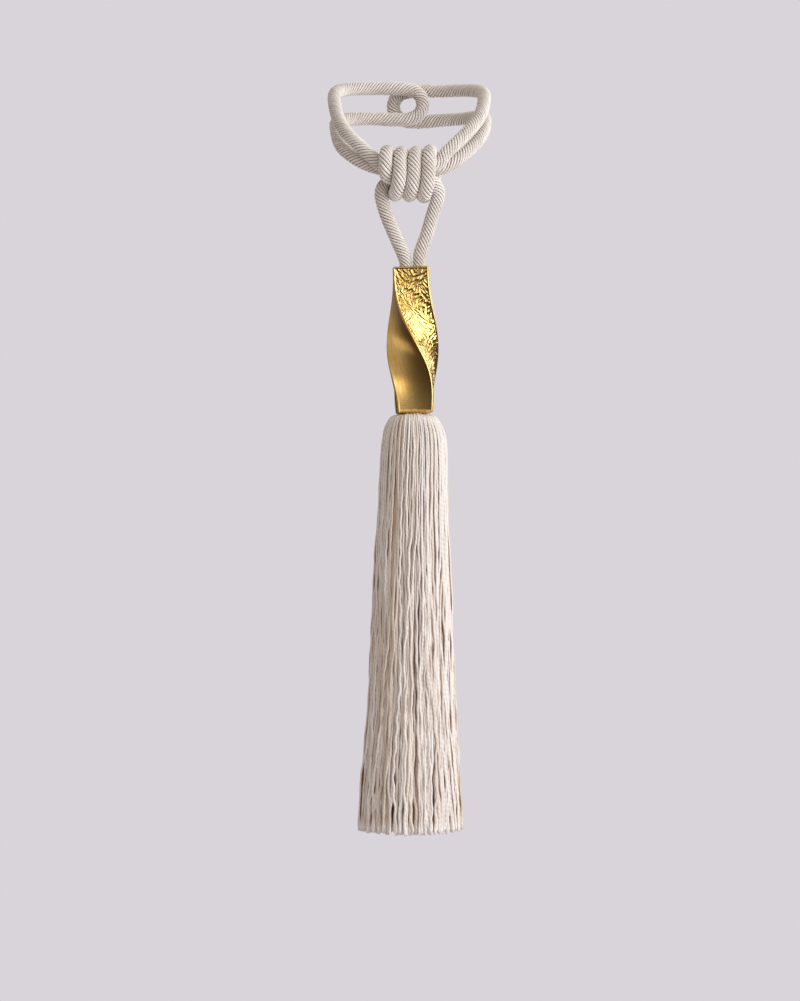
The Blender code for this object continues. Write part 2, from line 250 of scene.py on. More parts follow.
def evenly(line: Array, step: float | None = None, count: int | None = None) -> Array:
    """The same line with its points an equal distance apart.

    Args:
        line: points of any spacing.
        step: the distance wanted, or
        count: the number of points wanted.

    Returns:
        The new points.
    """
    s = np.concatenate([[0.0], np.cumsum(np.linalg.norm(np.diff(line, axis=0), axis=1))])
    count = count or int(round(s[-1] / step)) + 1
    at = np.linspace(0.0, s[-1], count)
    return np.stack([np.interp(at, s, line[:, k]) for k in range(line.shape[1])], axis=1)


def ring_mesh(name: str, points: Array, along: Array, turns: float,
              notes: dict[str, Array] | None = None) -> bpy.types.Object:
    """Makes an object of one or more tubes, each a grid of rings closed by a cap at both ends.

    Ring k joins ring k + 1 by quads, and a ring's last point joins its first. The UV map counts
    u round the ring, from 0 to turns, and v in millimetres along the tube.

    Args:
        name: the piece's name.
        points: tubes x rings x points round x 3, in millimetres from the knot's middle.
        along: tubes x rings, the v value of each ring.
        turns: the u value of a whole way round.
        notes: values at each point, by the attribute's name.

    Returns:
        The object, at the origin.
    """
    tubes, rings, columns, _ = points.shape
    mesh = bpy.data.meshes.new(name)
    mesh.vertices.add(tubes * rings * columns)
    mesh.vertices.foreach_set("co", ((points - HOOK) * MM).astype(np.float32).ravel())

    index = np.arange(tubes * rings * columns).reshape(tubes, rings, columns)
    after = np.roll(index, -1, axis=2)
    quads = np.stack([index[:, :-1], after[:, :-1], after[:, 1:], index[:, 1:]], axis=-1)
    caps = np.concatenate([index[:, 0, ::-1], index[:, -1, :]])
    corners = np.concatenate([quads.ravel(), caps.ravel()])
    sizes = np.concatenate([np.full(quads.size // 4, 4), np.full(len(caps), columns)])
    mesh.loops.add(len(corners))
    mesh.loops.foreach_set("vertex_index", corners.astype(np.int32))
    mesh.polygons.add(len(sizes))
    starts = np.concatenate([[0], np.cumsum(sizes)[:-1]])
    mesh.polygons.foreach_set("loop_start", starts.astype(np.int32))
    mesh.update(calc_edges=True)
    smooth = np.arange(len(sizes)) < quads.size // 4
    mesh.polygons.foreach_set("use_smooth", smooth)

    u = turns * np.arange(columns + 1) / columns
    u = np.broadcast_to(np.stack([u[:-1], u[1:], u[1:], u[:-1]], axis=-1), quads.shape)
    low, high = along[:, :-1, None], along[:, 1:, None]
    v = np.broadcast_to(np.stack([low, low, high, high], axis=-1), quads.shape)
    uv = np.zeros((len(corners), 2), np.float32)
    uv[:quads.size, 0], uv[:quads.size, 1] = u.ravel(), v.ravel()
    mesh.uv_layers.new(name="lay").data.foreach_set("uv", uv.ravel())
    for note, values in (notes or {}).items():
        values = np.broadcast_to(values, points.shape[:-1]).astype(np.float32)
        mesh.attributes.new(note, "FLOAT", "POINT").data.foreach_set("value", values.ravel())
    mesh.validate()
    obj = bpy.data.objects.new(name, mesh)
    bpy.context.scene.collection.objects.link(obj)
    return obj


# ---------------------------------------------------------------- finishes


@dataclass(frozen=True)
class TwistedCordFinish:
    """Mercerised cotton cord, plied from nine yarns.

    To the eye: soft ivory with a faint silky sheen on the yarns' crowns, a slightly different ivory
    from yarn to yarn, fine threads that slant across each yarn, and painted tan shade in the
    grooves.
    """

    crown: str = "#FEFAF4"
    dull: str = "#EEE4D9"
    # painted shade: the dark tan that the grooves between the yarns are painted
    groove_shade: str = "#563A26"
    groove_shade_from: float = 0.31       # where the painted shade of the grooves begins, of a yarn's width from its middle; the grooves' bottom is at 0.5
    groove_shade_most: float = 0.97       # share of the painted shade at the grooves' bottom
    thread_mm: float = 1.1          # from thread to thread, coarser than real so that it shows
    thread_slant: float = 2.0       # threads that a yarn's width crosses
    thread_depth_mm: float = 0.10
    fuzz_mm: float = 0.45           # coarser than real too
    fuzz_height: float = 0.9        # beside the threads' height
    bump: float = 0.6
    patch_mm: float = 14.0          # patches of paler and duller ivory
    yarn_part: float = 0.35         # how much the yarn's own tone counts, beside the patches
    fuzz_part: float = 0.5          # and the fuzz
    tones: Pair = (0.65, 1.25)      # sums that give the crown's ivory and the dull one
    roughness: float = 0.62
    sheen: float = 0.25
    sheen_roughness: float = 0.4

    def make(self) -> bpy.types.Material:
        """Builds the material from the cord's own UV map: u counts yarns, v is millimetres.

        Returns:
            The material.
        """
        made, tree, shader = new_material("mercerised cotton cord")
        lay = add_node(tree, "ShaderNodeUVMap", uv_map="lay")
        parts = add_node(tree, "ShaderNodeSeparateXYZ", (lay,))
        u, v = parts.outputs["X"], parts.outputs["Y"]
        deep = add_node(tree, "ShaderNodeMapRange",
                        (from_middle(tree, u), self.groove_shade_from, 0.5, 0.0, self.groove_shade_most),
                        interpolation_type="SMOOTHSTEP")

        thread = add_node(tree, "ShaderNodeMath", (v, TURN / self.thread_mm),
                          operation="MULTIPLY")
        thread = add_node(tree, "ShaderNodeMath", (u, self.thread_slant * TURN, thread),
                          operation="MULTIPLY_ADD")
        thread = add_node(tree, "ShaderNodeMath", (thread,), operation="SINE")

        place = add_node(tree, "ShaderNodeTexCoord").outputs["Object"]
        fuzz = add_node(tree, "ShaderNodeTexNoise",
                        {"Vector": place, "Scale": 1.0 / (self.fuzz_mm * MM),
                         "Detail": 3.0, "Roughness": 0.6})
        patch = add_node(tree, "ShaderNodeTexNoise",
                         {"Vector": place, "Scale": 1.0 / (self.patch_mm * MM), "Detail": 2.0})
        yarn = add_node(tree, "ShaderNodeMath", (u,), operation="FLOOR")
        yarn = add_node(tree, "ShaderNodeTexWhiteNoise", {"W": yarn}, noise_dimensions="1D")
        tone = add_node(tree, "ShaderNodeMath", (yarn, self.yarn_part, patch),
                        operation="MULTIPLY_ADD")
        tone = add_node(tree, "ShaderNodeMath", (fuzz, self.fuzz_part, tone),
                        operation="MULTIPLY_ADD")
        tone = add_node(tree, "ShaderNodeMapRange", (tone, *self.tones, 0.0, 1.0))
        ivory = add_node(tree, "ShaderNodeMix", {SHARE: tone, FIRST: to_linear(self.crown),
                                                 SECOND: to_linear(self.dull)},
                         data_type="RGBA").outputs[MIXED]
        # painted shade: the ivory darkens towards the grooves between the yarns
        colour = add_node(tree, "ShaderNodeMix", {SHARE: deep, FIRST: ivory,
                                                  SECOND: to_linear(self.groove_shade)},
                          data_type="RGBA").outputs[MIXED]

        height = add_node(tree, "ShaderNodeMath", (fuzz, self.fuzz_height, thread),
                          operation="MULTIPLY_ADD")
        bump = add_node(tree, "ShaderNodeBump", {"Height": height, "Strength": self.bump,
                                                 "Distance": self.thread_depth_mm * MM})
        feed(shader, {"Base Color": colour, "Normal": bump, "Roughness": self.roughness,
                      "Sheen Weight": self.sheen, "Sheen Roughness": self.sheen_roughness})
        return made


@dataclass(frozen=True)
class TasselYarnFinish:
    """Soft rayon tassel yarn, two threads loosely plied.

    To the eye: pale ivory with painted tan shade between the yarns and their plies, on the yarns'
    backs and on the inner rings, with a slight silky sheen, tiny lengthwise fibres and yarns that
    differ a little from one to the next.
    """

    light: str = "#FAF6F2"
    warm: str = "#E6D8C6"
    # painted shade: the tan brown that points are painted towards between plies, on the yarns'
    # backs and on the inner rings
    between: str = "#925C2A"
    plies: int = 2
    lead_mm: float = 5.6            # along the yarn for one turn of its plies
    groove_shade_from: float = 0.27       # where the painted shade between plies begins, of a ply's width from its middle; the line between two plies is at 0.5
    groove_shade: float = 0.13            # painted shade: how much darker the line between two plies is painted
    fibre_mm: float = 0.16          # coarser than real, so that it shows
    fibre_drawn: float = 0.14       # the pattern's scale up and down, beside its scale across
    fibre_part: float = 0.9         # how much the fibres count, beside the yarn's own tone
    tones: Pair = (0.35, 1.45)      # sums that give the light ivory and the warm one
    depth_mm: float = 0.16
    bump: float = 0.8
    roughness: float = 0.58
    sheen: float = 0.2
    sheen_roughness: float = 0.4

    def make(self) -> bpy.types.Material:
        """Builds the material: the yarns' tone and painted shade are their own values, u and v
        their lay.

        Returns:
            The material.
        """
        made, tree, shader = new_material("rayon tassel yarn")
        tone, painted_shade = (
            add_node(tree, "ShaderNodeAttribute", attribute_name=name).outputs["Fac"]
            for name in ("tone", "painted_shade"))
        lay = add_node(tree, "ShaderNodeUVMap", uv_map="lay")
        parts = add_node(tree, "ShaderNodeSeparateXYZ", (lay,))
        u, v = parts.outputs["X"], parts.outputs["Y"]
        ply = add_node(tree, "ShaderNodeMath", (v, self.plies / self.lead_mm),
                       operation="MULTIPLY")
        ply = add_node(tree, "ShaderNodeMath", (u, float(self.plies), ply),
                       operation="MULTIPLY_ADD")
        deep = add_node(tree, "ShaderNodeMapRange",
                        (from_middle(tree, ply.outputs[0]), self.groove_shade_from, 0.5, 0.0, 1.0),
                        interpolation_type="SMOOTHSTEP")

        place = add_node(tree, "ShaderNodeTexCoord").outputs["Object"]
        drawn = add_node(tree, "ShaderNodeMapping",
                         {"Vector": place, "Scale": (1.0, 1.0, self.fibre_drawn)})
        fibre = add_node(tree, "ShaderNodeTexNoise",
                         {"Vector": drawn, "Scale": 1.0 / (self.fibre_mm * MM),
                          "Detail": 3.0, "Roughness": 0.6})
        mixed = add_node(tree, "ShaderNodeMath", (fibre, self.fibre_part, tone),
                         operation="MULTIPLY_ADD")
        mixed = add_node(tree, "ShaderNodeMapRange", (mixed, *self.tones, 0.0, 1.0))
        ivory = add_node(tree, "ShaderNodeMix", {SHARE: mixed, FIRST: to_linear(self.light),
                                                 SECOND: to_linear(self.warm)},
                         data_type="RGBA").outputs[MIXED]
        # painted shade: the line between plies and each point's painted shade value mix the ivory
        # towards the between colour
        shade = add_node(tree, "ShaderNodeMath", (deep, self.groove_shade, painted_shade),
                         operation="MULTIPLY_ADD", use_clamp=True)
        colour = add_node(tree, "ShaderNodeMix", {SHARE: shade, FIRST: ivory,
                                                  SECOND: to_linear(self.between)},
                          data_type="RGBA").outputs[MIXED]
        height = add_node(tree, "ShaderNodeMath", (fibre, deep), operation="SUBTRACT")
        bump = add_node(tree, "ShaderNodeBump", {"Height": height, "Strength": self.bump,
                                                 "Distance": self.depth_mm * MM})
        feed(shader, {"Base Color": colour, "Normal": bump, "Roughness": self.roughness,
                      "Sheen Weight": self.sheen, "Sheen Roughness": self.sheen_roughness})
        return made


@dataclass(frozen=True)
class GiltFinish:
    """Gold-plated zinc casting.

    To the eye: warm yellow gold. Polished, its small chiselled facets flash light and dark;
    satin, it shows broad soft reflections with very fine rubbing marks.
    """

    name: str
    light: str
    deep: str
    roughness: Pair
    rub_depth_mm: float
    patch_mm: float = 9.0           # patches of lighter and deeper gold
    rub_mm: Pair = (0.9, 16.0)      # width and length of a polishing streak
    face_mm: float = 22.0           # u counts faces of this width
    tones: Pair = (0.72, 1.28)      # sums that give the light gold and the deep one
    bump: float = 0.5

    def make(self) -> bpy.types.Material:
        """Builds the metal: two golds and two polishes in soft patches and long faint streaks.

        Returns:
            The material.
        """
        made, tree, shader = new_material(self.name)
        place = add_node(tree, "ShaderNodeTexCoord").outputs["Object"]
        patch = add_node(tree, "ShaderNodeTexNoise",
                         {"Vector": place, "Scale": 1.0 / (self.patch_mm * MM), "Detail": 3.0})
        lay = add_node(tree, "ShaderNodeUVMap", uv_map="lay")
        drawn = add_node(tree, "ShaderNodeMapping",
                         {"Vector": lay,
                          "Scale": (self.face_mm / self.rub_mm[0], 1.0 / self.rub_mm[1], 1.0)})
        rub = add_node(tree, "ShaderNodeTexNoise",
                       {"Vector": drawn, "Scale": 1.0, "Detail": 1.0})
        share = add_node(tree, "ShaderNodeMath", (patch, rub), operation="ADD")
        share = add_node(tree, "ShaderNodeMapRange", (share, *self.tones, 0.0, 1.0))
        colour = add_node(tree, "ShaderNodeMix", {SHARE: share, FIRST: to_linear(self.light),
                                                  SECOND: to_linear(self.deep)},
                          data_type="RGBA").outputs[MIXED]
        rough = add_node(tree, "ShaderNodeMapRange", (share, 0.0, 1.0, *self.roughness))
        bump = add_node(tree, "ShaderNodeBump", {"Height": rub, "Strength": self.bump,
                                                 "Distance": self.rub_depth_mm * MM})
        feed(shader, {"Base Color": colour, "Roughness": rough, "Normal": bump,
                      "Metallic": 1.0})
        return made


# ---------------------------------------------------------------- cords


@dataclass(frozen=True)
class PliedCord:
    """The cord's make: nine yarns laid round each other."""

    diameter: float = 7.8
    gap: float = 0.3                # between two runs that touch
    yarns: int = 9
    lead: float = 19.0              # length of one full turn of the yarns
    columns: int = 8                # points across one yarn
    step: float = 0.8
    bulge: float = 1.30             # how far a yarn's crown stands out, before the grooves fill
    fill: float = 0.86              # how round a crown is: 1 for half a circle
    crown: float = 8.05             # over the yarns' crowns, which bear on their neighbours
    uneven: float = 0.06            # how much the crowns rise and fall
    ease: float = 0.04              # and how much lower they lie for it
    uneven_waves: tuple[Pair, ...] = ((3, 37.0), (5, 16.0), (4, 9.0))
    aside: Point = (0.31, 0.95, 0.05)   # a direction that no end of a cord points in

    def frames(self, line: Array) -> tuple[Array, Array]:
        """Two square directions at each point, carried along the line without spin.

        Each pair is the one before with its part along the new direction taken away. The first
        direction of all is square to the line's start and to the one called aside.

        Args:
            line: evenly spaced points.

        Returns:
            The first and the second directions.
        """
        along = unit(np.gradient(line, axis=0))
        first = np.zeros_like(line)
        first[0] = unit(np.cross(along[0], self.aside))
        for k in range(1, len(line)):
            first[k] = unit(first[k - 1] - along[k] * (first[k - 1] @ along[k]))
        return first, np.cross(along, first)

    def tube(self, name: str, line: Array, thickness: Array, seed: int) -> bpy.types.Object:
        """The cord's surface.

        Round the line at share f of a yarn the radius is R - bulge (1 - sqrt(1 - fill x^2)),
        with x = 2f - 1, and the yarns turn once in each lead, so a column of points follows
        its yarn. Each crown is a little uneven.

        Args:
            name: the piece's name.
            line: the cord's middle, evenly spaced.
            thickness: the share of full thickness at each point.
            seed: for the unevenness.

        Returns:
            The object.
        """
        dice = np.random.default_rng(seed)
        first, second = self.frames(line)
        s = np.linspace(0.0, line_length(line), len(line))
        count = self.yarns * self.columns
        column = np.arange(count)
        x = 2.0 * ((column / self.columns) % 1.0) - 1.0
        angle = TURN * column / count
        own = waves(dice, self.uneven_waves, angle[None, :], s[:, None])
        radius = (0.5 * self.crown + self.uneven * own - self.ease) * thickness[:, None]
        radius = radius - self.bulge * (1.0 - np.sqrt(1.0 - self.fill * x * x))
        turned = angle[None, :] - TURN * s[:, None] / self.lead
        rings = (line[:, None, :]
                 + (radius * np.cos(turned))[..., None] * first[:, None, :]
                 + (radius * np.sin(turned))[..., None] * second[:, None, :])
        return ring_mesh(name, rings[None], s[None], float(self.yarns))


@dataclass(frozen=True)
class Pressing:
    """How cords that bear on each other are moved apart, round by round."""

    rounds: int = 200
    step: float = 1.5               # between the points that are moved
    spare: float = 0.15             # kept beside the gap, for the finer line drawn through them
    push: float = 0.9               # the share of an overlap that a round takes away
    hold: float = 0.02              # the share of the way back to the route
    unheld: int = 12                # the last rounds, which hold nothing back
    stiff: Pair = (0.20, 0.06)      # how much of a sharp bend is ironed out, at first and last
    last: int = 30                  # rounds of the second stiffness
    alike: float = 1.4              # diameters along one cord that count as the same place
    search_every: int = 20          # rounds from one search for near points to the next
    search: float = 4.0             # how far beyond a diameter near points are looked for
    even_every: int = 5             # rounds from one even spacing to the next


@dataclass
class KnottedCords:
    """The tieback's doubled cord and the tassel's cord wound round it."""

    make: PliedCord = field(default_factory=PliedCord)
    pressing: Pressing = field(default_factory=Pressing)
    core: float = 3.65              # offset of each of the four cords inside the knot
    core_lean: float = -0.05        # the bundle's slope, down to the right
    core_squeeze: float = 0.105     # the wraps press those four thinner by this share
    squeezed: Pair = (13.5, 4.0)    # where they are: to this X, and how soon it ends
    leaned: Pair = (15.0, 5.0)      # and where they slope
    core_radius: Pair = (9.0, 2.0)  # and how far from the X axis, likewise
    entry_pinch: float = 0.11       # the head's socket presses the legs by this share
    entry_above: Pair = (8.0, 6.0)  # from this far above the head, and over how much
    wraps: int = 4
    pitch: float = 8.4
    wrap_middle: float = 0.6        # X of the four wraps' middle
    wrap_up: float = 12.2           # from the knot's middle up to the wraps' middle line
    wrap_down: Pair = (10.6, 12.3)  # down, for the first wrap and the last
    wrap_deep: float = 12.8         # and to the front and the back
    wrap_square: float = 2.6        # the power of the wraps' rounded outline, 2 for an ellipse
    beyond: Pair = (0.1, 0.20)      # turns past the last wrap's top, and before the first's
    turn_step: float = 0.08
    slant: float = 0.1              # the bottoms lie twice this much further right
    wrap_full: float = 0.045        # the wraps are pressed this much wider
    wound_x: Pair = (16.5, 2.0)     # where they are: to this X, and how soon it ends,
    wound_z: Pair = (16.5, 3.0)     # down to this level,
    wound_from: float = 9.5         # and outside this distance from the X axis
    tieback_out: Pair = (15.5, 6.2)     # X and level where the tieback leaves the knot
    eye_radius: float = 9.0         # of the two end loops at the hook
    eye_apart: float = 4.4          # from the hook to each of them, front and back
    cut: Pair = (0.2, 6.0)          # X of a cut end inside the knot, and how far it runs straight
    seeds: tuple[int, int] = (11, 12)   # for each cord's unevenness

    def right_front(self) -> list[Point]:
        """The upper, front run of the right arm, from the knot to the hook.

        Returns:
            What it passes, from the knot outwards.
        """
        return [
            (12.0, -self.core, 4.2), (17.1, -3.8, 7.6), (21.1, -3.0, 11.4), (27.5, 0.0, 18.0),
            (34.1, 6.0, 25.2), (39.8, 13.0, 32.7), (43.4, 22.0, 40.5), (45.0, 32.0, 48.2),
            (45.0, 42.0, 53.8), (41.0, 54.0, 57.6), (32.0, 65.0, 59.8), (20.0, 72.6, 60.8),
        ]

    def right_back(self) -> list[Point]:
        """The lower, back run of the right arm.

        Returns:
            What it passes, from the knot outwards.
        """
        return [
            (8.0, self.core, self.core), (15.4, self.core, 3.8), (20.7, 4.5, 4.9),
            (27.7, 6.0, 8.9), (34.8, 11.0, 15.4), (40.9, 18.0, 22.4), (44.8, 27.0, 31.3),
            (45.4, 36.0, 37.9), (44.6, 45.0, 40.6), (40.4, 55.0, 41.8), (32.0, 65.0, 42.4),
            (20.0, 72.6, 42.8),
        ]

    def left_back(self) -> list[Point]:
        """The lower, back run of the left arm.

        Returns:
            What it passes, from the knot outwards.
        """
        return [
            (-8.0, self.core, self.core), (-15.2, self.core, 3.9), (-21.2, 4.5, 5.5),
            (-27.6, 6.0, 8.3), (-34.1, 10.0, 12.9), (-38.7, 16.0, 17.8), (-41.6, 25.0, 25.0),
            (-42.8, 34.0, 31.9), (-42.8, 44.0, 36.8), (-39.4, 53.0, 40.0), (-31.5, 61.5, 42.0),
            (-20.0, 66.4, 42.8),
        ]

    def left_front(self) -> list[Point]:
        """The upper, front run of the left arm.

        Returns:
            What it passes, from the knot outwards.
        """
        return [
            (-12.0, -self.core, 4.2), (-18.8, -4.0, 7.6), (-25.8, -2.0, 14.0),
            (-32.2, 3.0, 20.5), (-37.4, 10.0, 27.5), (-41.3, 19.0, 35.7), (-43.4, 30.0, 44.4),
            (-44.0, 42.0, 53.1), (-40.8, 52.0, 57.4), (-32.5, 60.5, 60.0), (-20.0, 66.4, 61.2),
        ]

    def left_leg(self) -> list[Point]:
        """The left leg, from the head up into the knot.

        Returns:
            What it passes.
        """
        return [
            (-1.6, 0.0, -54.0), (-2.3, 0.1, -48.2), (-4.1, 0.3, -43.8), (-7.3, 0.5, -36.6),
            (-13.0, 1.0, -22.9), (-15.2, 1.6, -15.0), (-15.4, 2.6, -9.0), (-13.2, 3.5, -4.8),
            (-8.0, self.core, -self.core),
        ]

    def right_leg(self) -> list[Point]:
        """The right leg, from the knot down to the head.

        Returns:
            What it passes.
        """
        return [
            (8.0, -self.core, -self.core), (13.4, -3.7, -4.4), (16.6, -3.0, -9.3),
            (16.1, -1.8, -17.1), (14.1, -1.0, -22.9), (10.1, -0.4, -36.6), (7.3, -0.1, -43.8),
            (6.3, 0.0, -48.2), (5.7, 0.0, -54.0),
        ]

    def turn_up(self) -> list[Point]:
        """From inside the knot round to the back of the last wrap."""
        return [(0.0, self.core, -self.core), (8.0, self.core, -self.core),
                (13.4, 6.6, -3.4), (15.0, 11.2, 1.4)]

    def tucked(self) -> list[Point]:
        """The first wrap's end, tucked behind the second wrap and into the knot."""
        return [(-11.9, -12.4, 2.0), (-10.6, -10.4, -2.6), (-8.4, -6.2, -4.4),
                (-4.0, -self.core, -self.core), (2.0, -self.core, -self.core)]

    def wrap_point(self, turn: float) -> Point:
        """A point of the winding, a rounded square: +-deep |sin|^(2/n), +-high |cos|^(2/n).

        Args:
            turn: 0 is the top of the left wrap, counted over the back.

        Returns:
            The point, moved along X by the pitch in each turn.
        """
        a = TURN * turn
        s, c = math.sin(a), math.cos(a)
        power = 2.0 / self.wrap_square
        first, last = self.wrap_down
        down = first + (last - first) * turn / (self.wraps - 1)
        return (
            self.wrap_middle + self.pitch * (turn - 0.5 * (self.wraps - 1))
            + self.slant * (1.0 - c),
            self.wrap_deep * math.copysign(abs(s) ** power, s),
            (self.wrap_up if c > 0.0 else down) * math.copysign(abs(c) ** power, c),
        )

    def end_loop(self, tip: float, y: float) -> list[Point]:
        """Half a circle round the hook, from the upper run to the lower one.

        Args:
            tip: the X side that it bends towards, 1 or -1.
            y: its level from front to back.

        Returns:
            Its points.
        """
        r = self.eye_radius
        turns = [math.radians(a) for a in (90, 45, 0, -45, -90)]
        return [(tip * r * math.cos(a), y, HOOK[2] + r * math.sin(a)) for a in turns]

    def tassel_route(self) -> Array:
        """The tassel cord's way: left leg, back strand, wraps, tucked end, front strand, right leg.

        Returns:
            Its points, from inside the head's socket and back to it.
        """
        floor = HEAD_TOP - SOCKET_DEEP + self.make.gap
        entry = (floor, 0.5 * (floor + HEAD_TOP))
        turns = np.arange(self.wraps - 1 + self.beyond[0], -self.beyond[1], -self.turn_step)
        winding = [self.wrap_point(t) for t in turns]
        return smooth_line(
            [(LEG_X[0], 0.0, z) for z in entry] + self.left_leg() + self.turn_up()
            + winding + self.tucked() + self.right_leg()
            + [(LEG_X[1], 0.0, z) for z in reversed(entry)])

    def tieback_route(self) -> Array:
        """Out to the right end loop, back through the knot, out to the left one and back.

        Returns:
            Its points, from one cut end inside the knot to the other.
        """
        end, straight = self.cut
        return smooth_line(
            [(end, -self.core, self.core), (straight, -self.core, self.core)]
            + self.right_front() + self.end_loop(-1.0, HOOK[1] + self.eye_apart)
            + self.right_back()[::-1] + [(0.0, self.core, self.core)] + self.left_back()
            + self.end_loop(1.0, HOOK[1] - self.eye_apart)[::-1] + self.left_front()[::-1]
            + [(-straight, -self.core, self.core), (-end, -self.core, self.core)])

    def bundled(self, points: Array, reach: Pair) -> Array:
        """How far points belong to the four cords inside the knot.

        It is clip((limit - |x|) / fade) times the same of the distance from the X axis.

        Args:
            points: n x 3.
            reach: the limit and the fade along X.

        Returns:
            0 to 1 for each point.
        """
        x, y, z = points.T
        (limit, fade), (radius, soft) = reach, self.core_radius
        return (np.clip((limit - np.abs(x)) / fade, 0.0, 1.0)
                * np.clip((radius - np.hypot(y, z)) / soft, 0.0, 1.0))

    def thickness(self, points: Array) -> Array:
        """The cord's thickness as a share of its own: less where something squeezes it.

        Args:
            points: of a cord's middle line.

        Returns:
            The share at each point.
        """
        height, fade = self.entry_above
        entry = np.clip((HEAD_TOP + height - points[:, 2]) / fade, 0.0, 1.0)
        return (1.0 - self.core_squeeze * self.bundled(points, self.squeezed)
                - self.entry_pinch * entry)

    def fullness(self, points: Array) -> Array:
        """The thickness as dressed: the wraps, outside the bundle, are pressed a little wider.

        Args:
            points: of a cord's middle line.

        Returns:
            The share at each point.
        """
        x, y, z = points.T
        wound = (np.clip((self.wound_x[0] - np.abs(x)) / self.wound_x[1], 0.0, 1.0)
                 * np.clip((z + self.wound_z[0]) / self.wound_z[1], 0.0, 1.0)
                 * np.clip(np.hypot(y, z) - self.wound_from, 0.0, 1.0))
        return self.thickness(points) + self.wrap_full * wound

    def lean(self, line: Array) -> Array:
        """The route with the bundle inside the knot sloped: z + slope x, where it is bundled."""
        rise = self.core_lean * line[:, 0] * self.bundled(line, self.leaned)
        return line + rise[:, None] * (0.0, 0.0, 1.0)

    def iron(self, line: Array, stiff: float) -> Array:
        """Takes sharp bends out of a line whose ends stay put.

        Each point's bend is how far the middle of its neighbours lies from it. The line moves
        against the difference between that and the same of its neighbours' bends.

        Args:
            line: the points.
            stiff: the share of that difference.

        Returns:
            The new points.
        """
        bend, uneven = np.zeros_like(line), np.zeros_like(line)
        bend[1:-1] = 0.5 * (line[:-2] + line[2:]) - line[1:-1]
        uneven[1:-1] = 0.5 * (bend[:-2] + bend[2:]) - bend[1:-1]
        return line - stiff * uneven

    def press_apart(self, routes: list[Array]) -> list[Array]:
        """Lets the cords bear on each other: no two runs come nearer than a diameter and the gap.

        Each round moves near points apart, draws them back towards their route a little, and
        irons out sharp bends.

        Args:
            routes: each cord's route.

        Returns:
            The settled lines.
        """
        how = self.pressing
        lines = [evenly(r, how.step) for r in routes]
        cuts = np.cumsum([0] + [len(q) for q in lines])
        runs = list(zip(cuts[:-1], cuts[1:]))
        x = np.concatenate(lines)
        goal = x.copy()
        which = np.concatenate([np.full(len(q), i) for i, q in enumerate(lines)])
        place = np.concatenate([np.arange(len(q)) for q in lines])
        window = math.ceil(how.alike * self.make.diameter / how.step)
        half = 0.5 * self.make.diameter * self.thickness(x)
        i_all, j_all = np.triu_indices(len(x), 1)
        free = (which[i_all] != which[j_all]) | (np.abs(place[i_all] - place[j_all]) >= window)
        i_all, j_all = i_all[free], j_all[free]
        for turn in range(how.rounds):
            if turn % how.search_every == 0:
                away = np.linalg.norm(x[i_all] - x[j_all], axis=1)
                near = away < self.make.diameter + how.search
                i, j = i_all[near], j_all[near]
                far = half[i] + half[j] + self.make.gap + how.spare
            apart = x[i] - x[j]
            long = np.linalg.norm(apart, axis=1)
            tight = long < far
            push = apart[tight] * (0.5 * (far[tight] - long[tight]) / long[tight])[:, None]
            total, count = np.zeros_like(x), np.zeros(len(x))
            for ends, way in ((i[tight], 1.0), (j[tight], -1.0)):
                np.add.at(total, ends, way * push)
                np.add.at(count, ends, 1)
            x = x + how.push * total / np.sqrt(np.maximum(count, 1))[:, None]
            if turn < how.rounds - how.unheld:
                x = x + how.hold * (goal - x)
            stiff = how.stiff[0 if turn < how.rounds - how.last else 1]
            for start, stop in runs:
                q = self.iron(x[start:stop], stiff)
                q[0], q[-1] = goal[start], goal[stop - 1]
                even = turn % how.even_every == how.even_every - 1
                x[start:stop] = evenly(q, count=len(q)) if even else q
        return [x[start:stop] for start, stop in runs]

    def build(self, finish: bpy.types.Material) -> list[bpy.types.Object]:
        """Builds and dresses both cords.

        Args:
            finish: the cord's material.

        Returns:
            The two pieces.
        """
        tassel, tieback = self.press_apart([self.lean(self.tassel_route()),
                                            self.lean(self.tieback_route())])
        (out_x, out_z), (seed, other_seed) = self.tieback_out, self.seeds
        made = []
        for name, node, settled, number, leaves in (
                ("wound_tassel_cord", "tassel_rope", tassel, seed, (LEG_X[0], 0.0, HEAD_TOP)),
                ("doubled_tieback_cord", "tieback_rope", tieback, other_seed,
                 (out_x, -self.core, out_z))):
            line = evenly(smooth_line(list(settled), fine=3), self.make.step)
            obj = self.make.tube(name, line, self.fullness(line), number)
            dress(obj, node, Slot.CORD, finish)
            LOG.info("%s: %.0f mm long", name, line_length(line))
            made.append(obj)
        return made


# ---------------------------------------------------------------- head


class Face(Enum):
    """How a face of the head is finished."""

    HAMMERED = 0
    SATIN = 1


